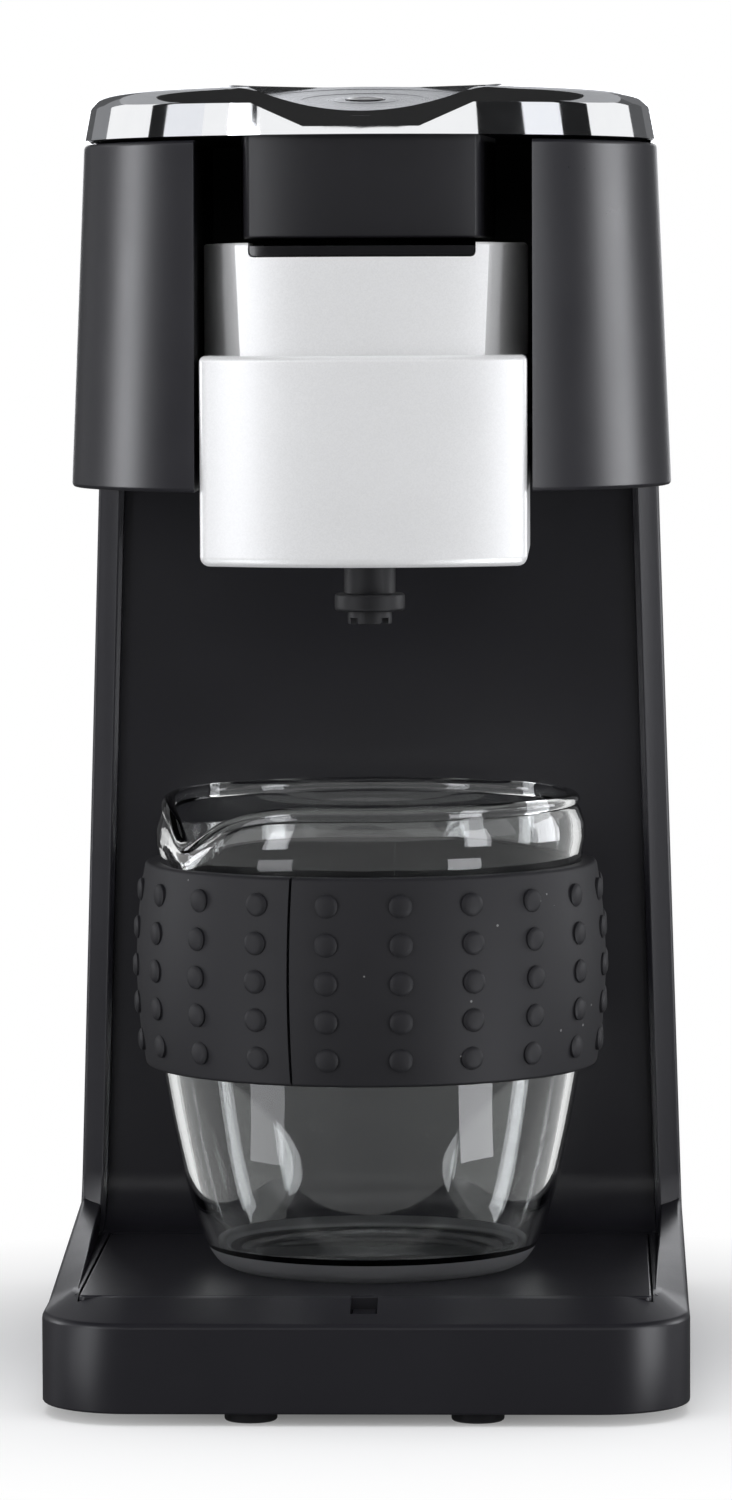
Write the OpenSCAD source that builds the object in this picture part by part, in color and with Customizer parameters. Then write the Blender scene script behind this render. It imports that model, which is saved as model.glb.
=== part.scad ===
// Capsule coffee machine: a slim column on a flat base, a round-fronted head with a lift-up lid,
// a pull-out capsule drawer between two cheeks, and a glass cup with a rubber sleeve.
// Millimetres. +Z is up, the front faces -Y, the origin is on the table under the middle of the base.

/* [Base] */
// Width of the base across its sides
base_w = 135; // [128:1:148]
// Radius of the two front corners, seen from above
front_corner_r = 19; // [14:1:24]
// Radius of the two rear corners, seen from above
rear_corner_r = 14; // [10:1:18]
// Height of a rubber foot under the base
foot_h = 2.5; // [1.5:0.5:4]
// Diameter of a rubber foot
foot_d = 11; // [8:0.5:14]
// Height of the upright edge of the base
base_edge_h = 18.5; // [16:0.5:24]
// Rise of the sloping border from that edge up to the cup rest
border_rise = 4; // [3.4:0.2:6]
// Width of the sloping border along the front
front_border = 13; // [10:0.5:16]
// Width of the sloping border along the sides
side_border = 6.5; // [5:0.5:9]
// Wall thickness of the moulded housings
wall = 2.4; // [2:0.1:3]
// Thickness of the bottom plate
plate_t = 2.4; // [2:0.1:3.2]

/* [Column] */
// Distance from the front of the base to the face of the column
column_setback = 119; // [114:1:122]
// Depth of the column at its foot, from its face to the back of the base
column_d = 86; // [82:1:94]
// Height of the column above the cup rest
column_rise = 166.4; // [150:1:190]
// Width of the column at its top
column_top_w = 124.5; // [120:0.5:125]
// How far the back leans in between the base and the top of the column
back_lean = 6; // [4:0.5:8]
// Width of the raised rib down each side of the face
rib_w = 5.8; // [4:0.2:8]
// Depth of the face below its ribs
panel_depth = 2.5; // [1.5:0.1:3]
// Radius where the face runs out into the base
foot_fillet_r = 12; // [8:1:14]
// Distance from the face to the joint between front housing and rear cover
joint_depth = 33.5; // [30:0.5:36]

/* [Drip tray] */
// Thickness of the tray plate
tray_t = 3; // [2:0.1:3.2]
// Gap between the edge of the tray and the border of the base
tray_margin = 1.5; // [1:0.1:3]
// Width of the lift tongue at the front of the tray
tongue_w = 5; // [4:0.5:8]
// Length of the lift tongue in front of the tray
tongue_l = 9; // [6:0.5:10]

/* [Head] */
// Height of the head
head_h = 73; // [68:1:80]
// Width of the head at its lower edge
head_bottom_w = 129; // [126:0.5:132]
// Width of the head at its upper edge
head_top_w = 122.8; // [119:0.1:124]
// Distance from the front of the base to the front of the head
head_setback = 17; // [15:0.5:20]
// Width of the bay between the cheeks
bay_w = 70.2; // [69.5:0.1:73]
// Depth of the bay behind the front of the head
bay_depth = 83.5; // [82:0.5:86]
// Wall thickness of the brew chamber
chamber_wall = 3.6; // [3.2:0.1:4.4]
// Thickness of the deck under the lid
deck_t = 2.4; // [2:0.1:3]
// Distance from the front of the head to the brewing axis
brew_setback = 46; // [45:0.5:47]

/* [Lid] */
// Gap between the top of the head and the lid
lid_gap = 0.8; // [0.6:0.1:1.2]
// Height of the steep band round the lid
lid_band_h = 6.9; // [5:0.1:7.4]
// How far the band leans in over its height
lid_lean = 1.3; // [0.5:0.1:2]
// Height of the bevel above the band
lid_bevel_h = 3.2; // [2.6:0.1:5]
// Width of the bevel, measured inwards from the foot of the band
lid_bevel_w = 5.6; // [4:0.1:7]
// Height of the gentle crown above the bevel
lid_crown_h = 1.6; // [1:0.1:2.4]
// Wall thickness of the lid
lid_wall = 2; // [1.6:0.1:2.4]
// Distance from the hinge axis to the back of the head at its top
hinge_inset = 7.25; // [7:0.25:8]
// Height of the hinge axis above the top of the head
hinge_rise = 4.5; // [4.4:0.1:5]
// Diameter of the hinge pins
hinge_pin_d = 4; // [3:0.1:4.4]
// Radius of the hinge knuckles
knuckle_r = 4; // [3.6:0.1:4.2]
// Radius of the round thumb dish in the lid
dish_r = 27; // [24:0.5:28]
// Forward slope of the thumb dish in degrees
dish_tilt = 7.4; // [6:0.2:8]
// Distance from the front of the lid to the middle of the dish
dish_setback = 29.5; // [28:0.5:32]
// Depth of the middle of the dish below the top of the lid
dish_depth = 3.7; // [3.2:0.1:4]
// Thickness of the metal disc that lines the dish
disc_t = 1.2; // [0.8:0.1:1.6]
// Radius of the back of the drum that presses on the capsule
drum_r = 27; // [25:0.5:29]
// Width of the drum's bowed front
drum_w = 49; // [46:0.5:52]
// How far the drum's front stands behind the upper edge of the head
drum_setback = 3; // [2.8:0.1:6]
// Height of the drum under the lid
drum_h = 21.3; // [20:0.1:22]
// Wall thickness of the drum
drum_wall = 2.2; // [1.8:0.1:3]
// Reach of the inlet needle below the drum
needle_reach = 5.3; // [4:0.1:5.5]
// Radius of the inlet needle
needle_r = 1.6; // [1.2:0.1:2]

/* [Brew button] */
// Diameter of the brew button
button_d = 8; // [7:0.5:10]
// How far the button stands out of the dish
button_proud = 1.4; // [1.3:0.1:2]
// Travel of the button
button_travel = 1.2; // [0.8:0.1:1.2]

/* [Capsule drawer] */
// Gap between the drawer and each side of the bay
drawer_gap = 1.1; // [0.8:0.1:1.4]
// Drop of the drawer below the head
drawer_drop = 15.4; // [13:0.2:18]
// Height of the drawer's front
drawer_h = 43.7; // [42:0.1:46]
// How far the drawer's front stands behind the lower edge of the head
drawer_inset = 0.75; // [0.5:0.05:1.5]
// Wall thickness of the drawer
drawer_wall = 2.4; // [2:0.1:2.8]
// Height of the collar above the drawer's front
collar_h = 23.3; // [22:0.1:24]
// Width of the collar's bowed front
collar_w = 51.6; // [50.4:0.2:56]
// How far the collar's front stands behind the drawer's
collar_setback = 2; // [1:0.1:4]
// Width of the finger notch in the collar
notch_w = 47; // [40:1:50]
// Depth of the finger notch
notch_h = 3; // [2.5:0.1:4]
// Height of the guide rails in the bay
rail_h = 3; // [2.6:0.1:4]
// Depth of the grooves in the drawer's sides
groove_depth = 1.4; // [1:0.1:1.6]
// Height of the guide rails above the lower edge of the head
rail_rise = 13; // [10:0.5:16]
// Inner radius of the capsule cup at its mouth
capsule_mouth_r = 23.3; // [22.5:0.1:24]
// Inner radius of the capsule cup at its floor
capsule_floor_r = 18.5; // [17:0.1:20]
// Inner depth of the capsule cup
capsule_depth = 41; // [39:0.5:43]
// Drop of the capsule cup's rim below the top of the collar
rim_drop = 6; // [5.6:0.1:7]

/* [Outlet nozzle] */
// Outer diameter of the nozzle ring
nozzle_d = 15; // [13:0.5:18]
// Height of the nozzle ring
nozzle_ring_h = 3.8; // [3:0.1:5]
// Length of the neck between drawer and nozzle ring
nozzle_neck_h = 7.2; // [6:0.1:9]
// Length of the tip below the ring
nozzle_tip_h = 2.8; // [2:0.1:3.5]
// Bore of the nozzle
nozzle_bore_d = 6; // [5:0.2:7]

/* [Glass cup] */
// Height of the cup
cup_h = 101.3; // [92:0.5:112]
// Outer radius at the foot of the cup
cup_foot_r = 31; // [28:0.5:33]
// Outer radius at the belly under the sleeve
cup_belly_r = 47; // [46:0.2:49]
// Outer radius at the two edges of the sleeve
cup_waist_r = 45; // [43:0.2:46]
// How far the shoulder under the rim swells out
cup_shoulder = 1.2; // [0.6:0.1:2]
// Outer radius at the rim
cup_rim_r = 44.9; // [43:0.1:46]
// Thickness of the glass
glass_t = 2.6; // [2.2:0.1:3.2]
// Depth of the pouring lip below the rim
lip_drop = 9; // [5:0.5:10]
// Radius of the pouring lip's hollow in the rim
lip_r = 22; // [14:1:26]
// Direction of the pouring lip, counted from the front towards the left, in degrees
lip_turn = 58; // [30:1:90]
// Height of the lower edge of the rubber sleeve above the cup's foot
sleeve_rise = 43.3; // [40:0.5:46]
// Height of the rubber sleeve
sleeve_h = 43.5; // [38:0.5:46]
// Thickness of the rubber sleeve
sleeve_t = 3.1; // [2:0.1:3.4]
// Diameter of the grip studs on the sleeve
stud_d = 4.9; // [4:0.1:5.4]
// Height of the grip studs
stud_h = 0.9; // [0.6:0.1:1.2]
// Spacing of the rows of studs
stud_pitch = 8; // [7:0.05:8.2]
// Grip studs round the sleeve
stud_columns = 20; // [12:1:24]
// Rows of grip studs
stud_rows = 5; // [3:1:5]
// Turn of the first column of studs from the front, in degrees
stud_turn = 9; // [0:1:20]

/* [Water system] */
// Width of the water tank
tank_w = 90; // [80:1:90]
// Gap between the water tank and the rear cover
tank_clear = 6.1; // [4:0.1:9]
// Wall thickness of the water tank
tank_wall = 2; // [1.6:0.1:2.6]
// Clear height under the tank for heater and pump
plant_h = 56; // [52:1:62]
// Radius of the water hoses
hose_r = 3.5; // [3:0.1:4]
// How far an elbow of a hose swells out
elbow_swell = 0.2; // [0.1:0.1:0.5]
// Radius of the pump body
pump_r = 12; // [10:0.5:12.5]
// Length of the pump body
pump_l = 44; // [38:1:48]
// Length of the heater block
heater_l = 70; // [60:1:76]
// Depth of the heater block
heater_d = 30; // [26:1:32]
// Height of the heater block
heater_h = 24; // [20:1:26]
// Bore of the cord gland
cord_bore_d = 7; // [6:0.2:8]

/* [Clearances] */
// Gap between fixed parts that fit together
fit_gap = 0.2; // [0.1:0.05:0.3]
// Gap between parts that slide past each other
slide_gap = 0.3; // [0.25:0.05:0.5]
// Radial play of a hinge pin in a knuckle
pin_play = 0.04; // [0.02:0.01:0.08]

/* [Hidden] */
$fn = 64;
eps = 0.01;
big = 400;
fillet_lap = 0.08;
arc_steps = 8;
front_steps = 36;

base_d = column_setback + column_d;
base_front = -base_d / 2;
base_back = base_d / 2;
edge_z = foot_h + base_edge_h;
rest_z = edge_z + border_rise;
plate_top = foot_h + plate_t;
tray_floor = rest_z - tray_t;
ceiling_z = tray_floor - wall;
column_face = base_front + column_setback;
column_top = rest_z + column_rise;
joint_y = column_face + joint_depth;

head_z = column_top;
head_top = head_z + head_h;
head_front = base_front + head_setback;
head_axis = head_front + head_top_w / 2;
head_back_low = base_back - back_lean + (head_bottom_w - column_top_w) / 2;
head_back_top = head_back_low - (head_bottom_w - head_top_w) / 2;
bay_back = head_front + bay_depth;
floor_top = head_z + wall;
deck_z = head_top - deck_t;
brew_y = head_front + brew_setback;
boss_r = 4;
screw_r = 1.5;
screw_head_r = 2.8;
screw_head_h = 1.6;
screw_grip = 8;
post_x = head_top_w / 2 - wall - boss_r - 4;
post_front = head_axis + 8;

lid_z = head_top + lid_gap;
lid_band_top = lid_z + lid_band_h;
lid_bevel_top = lid_band_top + lid_bevel_h;
lid_top = lid_bevel_top + lid_crown_h;
lid_plate_t = 2;
lid_plate_inset = lid_wall + fit_gap + lid_lean * lid_plate_t / lid_band_h;
lug_w = 6;
lid_switch_at = [post_x - 2, brew_y + 8];
plunger_r = 1.5;
bumper_r = 3;
bumper_step = 15;
post_gap = 2;
hinge_y = head_back_top - hinge_inset;
hinge_z = head_top + hinge_rise;
lid_back = hinge_y - knuckle_r;
lid_r = head_top_w / 2;
knuckle_x = 30;
knuckle_w = 8;
drum_z = lid_z - drum_h;
drum_bow_r = head_top_w / 2 - drum_setback;
drum_floor_t = 3;
dish_y = head_front + dish_setback;
dish_z = lid_top - dish_depth;
stem_l = disc_t + 1.6;

drawer_w = bay_w - 2 * drawer_gap;
drawer_z = head_z - drawer_drop;
drawer_top = drawer_z + drawer_h;
drawer_r = head_bottom_w / 2 - drawer_inset;
collar_r = drawer_w / 2;
collar_bow_r = drawer_r - collar_setback;
collar_top = drawer_top + collar_h;
bowl_r = collar_r - drawer_wall;
rim_top = collar_top - rim_drop;
rim_t = 2;
ledge_w = 2.4;
cup_wall = 1.6;
capsule_floor = rim_top - capsule_depth;
rail_z = head_z + rail_rise;
rail_front = head_front + 17.5;
groove_front = head_front + 13.5;
drawer_back = bay_back - 4;
drawer_corner_r = 8;
nozzle_flange_r = nozzle_d / 2 + 1.5;
nozzle_flange_t = 2;
neck_r = nozzle_d / 2 - 2;
drawer_floor = drawer_z + drawer_wall;
nozzle_ring_top = drawer_z - nozzle_neck_h;
nozzle_tip_top = nozzle_ring_top - nozzle_ring_h;
nozzle_bottom = nozzle_tip_top - nozzle_tip_h;

tray_half_w = base_w / 2 - side_border - tray_margin;
tray_front = base_front + front_border + tray_margin;
tray_back = column_face - foot_fillet_r - tray_margin;
tongue_floor = ceiling_z + wall / 2;

shelf_z = plate_top + plant_h;
tank_z = shelf_z + wall;
tank_top = deck_z - fit_gap;
tank_front = joint_y - 6;
post_back = tank_front - boss_r - post_gap;
posts = [for (x = [-post_x, post_x], y = [post_front, post_back]) [x, y]];
tank_back = base_back - back_lean - wall - tank_clear;
tank_d = tank_back - tank_front;
tank_mid = tank_front + tank_d / 2;
mouth_w = tank_w - 34;
mouth_d = tank_d - 16;
spout_x = -tank_w / 2 + 20;
spout_y = joint_y + 10;
spout_l = 9;
spout_r = 4;
saddle_h = 5;
pump_y = column_face + panel_depth + wall + pump_r + 2.6;
pump_z = plate_top + saddle_h + pump_r;
pump_left = -pump_l - 4;
heater_gap = 4;
heater_y = joint_y + heater_gap + heater_d / 2;
heater_z = plate_top + saddle_h;
heater_top = heater_z + heater_h;
stub_l = 8;
stub_r = 4;
outlet_x = heater_l / 2 - 7;
inlet_x = heater_l / 2 - 15;
dock_z = lid_z - drum_h / 2;
dock_r = 3.5;
dock_bore_r = 2;
dock_l = 12;
seal_t = 3;
riser_y = pump_y;
gland_x = 24;
gland_z = plate_top + 9;
gland_r = cord_bore_d / 2 + 2.4;
gland_l = 10;
front_boss = [base_w / 2 - 23, base_front + 22];
rear_boss = [base_w / 2 - 26, base_back - wall - boss_r + 1];
foot_front = [23.5, base_front + 9];
foot_rear = [base_w / 2 - 22, base_back - 16];
foot_pocket = 1;
board_x = 10;
board_w = 44;
board_h = 42;
board_t = 1.6;
board_gap = 8;
ledge_t = 3;
sleeve_top = sleeve_rise + sleeve_h;
cup_heights = concat(
    [for (i = [0:8]) sleeve_rise * pow(i / 8, 2)],
    [for (i = [1:6]) sleeve_rise + sleeve_h * i / 6],
    [for (i = [1:6]) sleeve_top + (cup_h - sleeve_top) * i / 6]);
housing_black = [0.09, 0.09, 0.10];
inner_black = [0.05, 0.05, 0.06];
gloss_black = [0.03, 0.03, 0.035];
silver = [0.78, 0.78, 0.79];
chrome = [0.86, 0.87, 0.88];
rubber_black = [0.07, 0.07, 0.07];
clear_glass = [0.82, 0.87, 0.88, 0.35];
steel = [0.68, 0.69, 0.70];
aluminium = [0.72, 0.73, 0.74];
tank_grey = [0.55, 0.58, 0.62, 0.6];
hose_white = [0.88, 0.87, 0.83];
board_green = [0.10, 0.32, 0.16];

// Points of an arc, from angle a0 to a1
function arc(centre, r, a0, a1, steps = arc_steps) =
    [for (i = [0:steps]) let (a = a0 + (a1 - a0) * i / steps) centre + r * [cos(a), sin(a)]];

// Both sides of a symmetrical place
function both(p) = [p, [-p[0], p[1]]];

module at_each(places, z) {
    for (p = places) translate([p[0], p[1], z]) children();
}

// A bar along Y through the point [x, z]
module bar_y(x, z, r, y0, y1) {
    translate([x, y0, z]) rotate([-90, 0, 0]) cylinder(r = r, h = y1 - y0);
}

// A bar along X through the point [y, z]
module bar_x(y, z, r, x0, x1) {
    translate([x0, y, z]) rotate([0, 90, 0]) cylinder(r = r, h = x1 - x0);
}

// A block between two corners
module block(low, high) {
    translate(low) cube(high - low);
}

// A hose of straight runs with round elbows
module hose(points, r) {
    for (i = [0:len(points) - 2]) {
        run = points[i + 1] - points[i];
        turn = [0, acos(run[2] / norm(run)), atan2(run[1], run[0])];
        translate(points[i]) rotate(turn) cylinder(r = r, h = norm(run));
        if (i > 0) translate(points[i]) sphere(r = r + elbow_swell);
    }
}

// Points of a ring at height z
function at_height(points, z) = [for (p = points) [p[0], p[1], z]];

// A solid through rings of equally many points, each given as [points, height], from the lowest up
module loft(rings) {
    n = len(rings[0][0]);
    last = n * (len(rings) - 1);
    polyhedron([for (ring = rings) each at_height(ring[0], ring[1])], concat(
        [[for (i = [0:n - 1]) i]],
        [for (k = [0:len(rings) - 2], i = [0:n - 1]) let (a = n * k + i, b = n * k + (i + 1) % n)
            each [[a, a + n, b + n], [a, b + n, b]]],
        [[for (i = [n - 1:-1:0]) last + i]]));
}

// Rounded rectangle between front and back
function housing_ring(half_w, front, back, rf, rb) = concat(
    arc([-half_w + rf, front + rf], rf, 180, 270), arc([half_w - rf, front + rf], rf, 270, 360),
    arc([half_w - rb, back - rb], rb, 0, 90), arc([-half_w + rb, back - rb], rb, 90, 180));

// Outline of the base, drawn in by inset all round
function base_ring(inset) = housing_ring(base_w / 2 - inset, base_front + inset, base_back - inset,
    front_corner_r - inset, rear_corner_r - inset);

// Outline of the column's top, drawn in by inset
function column_ring(inset) = housing_ring(column_top_w / 2 - inset, base_front + inset,
    base_back - back_lean - inset, front_corner_r - inset, rear_corner_r - inset);

// Outline of the cup rest inside the sloping border
function rest_ring() = housing_ring(base_w / 2 - side_border, base_front + front_border,
    base_back - side_border, front_corner_r - side_border, rear_corner_r - side_border);

// Base block with its sloping border
module base_mass() {
    loft([[base_ring(0), foot_h], [base_ring(0), edge_z], [rest_ring(), rest_z]]);
}

// Tapering block of the column, drawn in by inset and carried on above its top by over
module column_mass(inset, over = 0) {
    top = column_ring(inset);
    rings = [[base_ring(inset), edge_z], [top, column_top]];
    loft(over > 0 ? concat(rings, [[top, column_top + over]]) : rings);
}

// Run-out between an upright face at y and the cup rest
module run_out(y) {
    translate([-base_w / 2, 0, 0]) rotate([90, 0, 90]) linear_extrude(base_w) difference() {
        translate([y - foot_fillet_r, rest_z - 1]) square([foot_fillet_r + 1, foot_fillet_r]);
        translate([y - foot_fillet_r, rest_z + foot_fillet_r]) circle(r = foot_fillet_r + fillet_lap);
    }
}

// Everything behind an upright plane at y
module behind(y) {
    block([-big, y, -big], [big, big, big]);
}

// Outside of base and column together
module housing_mass() {
    base_mass();
    intersection() {
        column_mass(0);
        union() {
            behind(column_face);
            run_out(column_face);
        }
    }
}

// Hollow inside base and column together
module housing_hollow() {
    translate([0, 0, foot_h - 1]) linear_extrude(ceiling_z - foot_h + 1) polygon(base_ring(wall));
    intersection() {
        union() {
            translate([0, 0, foot_h - 1]) linear_extrude(base_edge_h + 1) polygon(base_ring(wall));
            column_mass(wall, 1);
        }
        behind(column_face + panel_depth + wall);
    }
}

// Sunk face between the two ribs of the column
module face_panel() {
    lean = (base_w - column_top_w) / 2;
    front = column_face - foot_fillet_r;
    back = column_face + panel_depth;
    low = base_w / 2 - rib_w;
    top = low - lean;
    low_ring = [[-low, front], [low, front], [low, back], [-low, back]];
    top_ring = [[-top, front], [top, front], [top, back], [-top, back]];
    intersection() {
        loft([[low_ring, edge_z], [top_ring, column_top], [top_ring, column_top + 1]]);
        difference() {
            block([-base_w, front - 1, rest_z], [base_w, back + 1, column_top + 2]);
            run_out(column_face + panel_depth);
        }
    }
}

module screw_boss(z0, z1) {
    translate([0, 0, z0]) difference() {
        cylinder(r = boss_r, h = z1 - z0);
        translate([0, 0, -eps]) cylinder(r = screw_r, h = z1 - z0 - 1);
    }
}

module front_housing() {
    color(housing_black) {
        difference() {
            housing_mass();
            behind(joint_y);
            housing_hollow();
            face_panel();
            block([-tray_half_w - slide_gap, tray_front - slide_gap, tray_floor],
                [tray_half_w + slide_gap, tray_back + slide_gap, rest_z + 1]);
            block([-tongue_w / 2 - slide_gap, tray_front - tongue_l - slide_gap, tongue_floor],
                [tongue_w / 2 + slide_gap, tray_front + tongue_l / 3 + slide_gap, rest_z]);
        }
        at_each(both(front_boss), 0) screw_boss(plate_top, ceiling_z + wall / 4);
    }
}

module rear_cover() {
    color(housing_black) {
        difference() {
            intersection() {
                housing_mass();
                behind(joint_y);
            }
            housing_hollow();
            bar_y(gland_x, gland_z, gland_r + fit_gap, base_back - 2 * wall, base_back + 1);
        }
        intersection() {
            difference() {
                column_mass(wall / 2);
                block([-tank_w / 2 - ledge_t, -big, 0], [tank_w / 2 + ledge_t, big, big]);
            }
            block([-base_w, joint_y, shelf_z - ledge_t], [base_w, tank_back, shelf_z]);
        }
        at_each(both(rear_boss), 0) screw_boss(plate_top, edge_z);
    }
}

module tank_shelf() {
    color(inner_black) difference() {
        intersection() {
            column_mass(wall + fit_gap);
            block([-base_w, joint_y, shelf_z], [base_w, base_back, tank_z]);
        }
        translate([spout_x, spout_y, shelf_z - 1]) cylinder(r = spout_r + 1, h = wall + 2);
    }
}

module bottom_plate() {
    color(inner_black) {
        difference() {
            translate([0, 0, foot_h]) linear_extrude(plate_t) polygon(base_ring(wall + fit_gap));
            at_each(concat(both(foot_front), both(foot_rear)), foot_h - eps)
                cylinder(d = foot_d + 2 * fit_gap, h = foot_pocket + eps);
            at_each(concat(both(front_boss), both(rear_boss)), foot_h - eps) {
                cylinder(r = screw_head_r + fit_gap, h = screw_head_h + fit_gap + 2 * eps);
                cylinder(r = screw_r + fit_gap, h = plate_t + 1);
            }
        }
        for (x = [-heater_l / 2 + 8, heater_l / 2 - 8])
            block([x - 4, heater_y - 8, plate_top - eps], [x + 4, heater_y + 8, heater_z]);
        for (x = [pump_left + 8, pump_left + pump_l - 8]) difference() {
            block([x - 2, pump_y - pump_r + 2, plate_top - eps],
                [x + 2, pump_y + pump_r - 2, pump_z - pump_r / 2]);
            bar_x(pump_y, pump_z, pump_r + fit_gap, x - 3, x + 3);
        }
    }
}

module rubber_feet() {
    color(rubber_black) at_each(concat(both(foot_front), both(foot_rear)), 0)
        cylinder(d = foot_d, h = foot_h + foot_pocket);
}

// A pan-head screw with its head down
module screw(length) {
    cylinder(r = screw_head_r, h = screw_head_h);
    cylinder(r = screw_r - pin_play, h = length);
}

module base_screws() {
    color(steel) at_each(concat(both(front_boss), both(rear_boss)), foot_h + fit_gap) screw(plate_t + screw_grip);
}

// Outline with a half-round front about the head's axis and a square back with round corners
function head_ring(r, back, corner_r) = concat(
    arc([0, head_axis], r, 180, 360, front_steps),
    arc([r - corner_r, back - corner_r], corner_r, 0, 90),
    arc([-r + corner_r, back - corner_r], corner_r, 90, 180));

// Round-fronted, tapering block of the head, drawn in by inset and carried on at both ends by over
module head_mass(inset, over = 0) {
    low = head_ring(head_bottom_w / 2 - inset, head_back_low - inset, rear_corner_r - inset);
    top = head_ring(head_top_w / 2 - inset, head_back_top - inset, rear_corner_r - inset);
    loft(over > 0
        ? [[low, head_z - over], [low, head_z], [top, head_top], [top, head_top + over]]
        : [[low, head_z], [top, head_top]]);
}

// Slab of the head's inside between two heights
module head_slab(z0, z1) {
    intersection() {
        head_mass(wall + fit_gap);
        block([-big, -big, z0], [big, big, z1]);
    }
}

module bay(width, z0, z1) {
    block([-width / 2, -big, z0], [width / 2, bay_back, z1]);
}

module head_shell() {
    color(housing_black) difference() {
        head_mass(0);
        head_mass(wall, 1);
        bay(bay_w, head_z - 1, head_top + 1);
    }
}

module head_posts() {
    bore_l = 12;
    at_each(posts, floor_top - eps) difference() {
        cylinder(r = boss_r, h = deck_z - floor_top + eps);
        translate([0, 0, deck_z - floor_top - bore_l]) cylinder(r = screw_r, h = bore_l + 1);
    }
}

module head_floor() {
    color(inner_black) {
        difference() {
            head_slab(head_z, floor_top);
            bay(bay_w + 2 * chamber_wall, head_z - 1, floor_top + 1);
            block([-tank_w / 2 - 1, tank_front - 1, head_z - 1],
                [tank_w / 2 + 1, tank_front + tank_d + 1, floor_top + 1]);
            translate([0, riser_y, head_z - 1]) cylinder(r = hose_r + 1, h = wall + 2);
        }
        head_posts();
    }
}

module brew_chamber() {
    half = bay_w / 2;
    outside = half + chamber_wall;
    color(inner_black) {
        difference() {
            intersection() {
                head_mass(wall + fit_gap);
                block([-outside, -big, head_z], [outside, bay_back + chamber_wall, deck_z]);
            }
            bay(bay_w, head_z - 1, deck_z + 1);
            block([-outside - 1, bay_back, head_z - 1], [outside + 1, big, floor_top]);
            bar_y(0, dock_z, dock_r + fit_gap, bay_back - 1, bay_back + chamber_wall + 1);
        }
        for (side = [-1, 1]) {
            inner = side * (drawer_w / 2 - groove_depth + slide_gap);
            outer = side * (half + 1);
            block([min(inner, outer), rail_front, rail_z],
                [max(inner, outer), bay_back + 1, rail_z + rail_h]);
        }
    }
}

// One fixed hinge lug, standing on the deck
module deck_lug(x) {
    r = knuckle_r - slide_gap;
    bar_x(hinge_y, hinge_z, r, x, x + lug_w);
    block([x, hinge_y - r, head_top - eps], [x + lug_w, hinge_y + r, hinge_z]);
}

module top_deck() {
    lug_gap = knuckle_w / 2 + slide_gap;
    color(inner_black) difference() {
        union() {
            difference() {
                head_slab(deck_z, head_top);
                bay(bay_w, deck_z - 1, head_top + 1);
                block([-mouth_w / 2, tank_mid - mouth_d / 2, deck_z - 1],
                    [mouth_w / 2, tank_mid + mouth_d / 2, head_top + 1]);
            }
            for (side = [-1, 1]) {
                deck_lug(side * knuckle_x - lug_gap - lug_w);
                deck_lug(side * knuckle_x + lug_gap);
            }
        }
        bar_x(hinge_y, hinge_z, hinge_pin_d / 2 + pin_play, -head_top_w / 2, head_top_w / 2);
        at_each(posts, deck_z - 1) {
            cylinder(r = screw_r + fit_gap, h = deck_t + 2);
            translate([0, 0, 1 + deck_t - screw_head_h])
                cylinder(r = screw_head_r + fit_gap, h = screw_head_h + 1);
        }
        at_each([lid_switch_at], deck_z - 1) cylinder(r = plunger_r + slide_gap, h = deck_t + 2);
    }
}

module deck_screws() {
    color(steel) at_each(posts, head_top) rotate([180, 0, 0]) screw(deck_t + screw_grip);
}

module lid_bumpers() {
    color(rubber_black) for (x = [-post_x, post_x], y = [post_front + bumper_step, tank_mid])
        translate([x, y, head_top]) cylinder(r = bumper_r, h = lid_gap - fit_gap / 2);
}

module hinge_pins() {
    reach = knuckle_w / 2 + slide_gap + lug_w + fit_gap;
    color(steel) for (side = [-1, 1]) {
        head_x = side * (knuckle_x + reach);
        bar_x(hinge_y, hinge_z, hinge_pin_d / 2, side * knuckle_x - reach, side * knuckle_x + reach);
        bar_x(hinge_y, hinge_z, hinge_pin_d / 2 + 1, min(head_x, head_x + side), max(head_x, head_x + side));
    }
}

module water_tank() {
    color(tank_grey) difference() {
        union() {
            block([-tank_w / 2, tank_front, tank_z], [tank_w / 2, tank_front + tank_d, tank_top]);
            translate([spout_x, spout_y, tank_z - spout_l]) cylinder(r = spout_r, h = spout_l + eps);
        }
        block([-tank_w / 2 + tank_wall, tank_front + tank_wall, tank_z + tank_wall],
            [tank_w / 2 - tank_wall, tank_front + tank_d - tank_wall, tank_top + 1]);
        translate([spout_x, spout_y, tank_z - spout_l - 1])
            cylinder(r = spout_r - 1.5, h = spout_l + tank_wall + 2);
    }
}

module flow_heater() {
    color(aluminium) {
        block([-heater_l / 2 + heater_d / 2, heater_y - heater_d / 2, heater_z],
            [heater_l / 2 - heater_d / 2, heater_y + heater_d / 2, heater_top]);
        for (side = [-1, 1]) translate([side * (heater_l / 2 - heater_d / 2), heater_y, heater_z])
            cylinder(d = heater_d, h = heater_h);
        bar_y(inlet_x, pump_z, stub_r, heater_y - heater_d / 2 - stub_l, heater_y - 1);
        translate([outlet_x, heater_y, heater_top - 1]) cylinder(r = stub_r, h = stub_l - 3);
    }
}

module thermostat() {
    color(inner_black) translate([0, heater_y, heater_top]) {
        cylinder(r = 8, h = 4);
        cylinder(r = 6, h = 7);
        for (x = [-3, 3]) block([x - 0.4, -2.4, 6], [x + 0.4, 2.4, 12]);
    }
}

module thermal_fuse() {
    color(steel) translate([-heater_l / 2 + 12, heater_y, heater_top]) {
        translate([0, 0, 2.2]) rotate([90, 0, 0]) cylinder(r = 2.2, h = 14, center = true);
        block([-3, -2, 0], [3, 2, 1]);
    }
}

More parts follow.
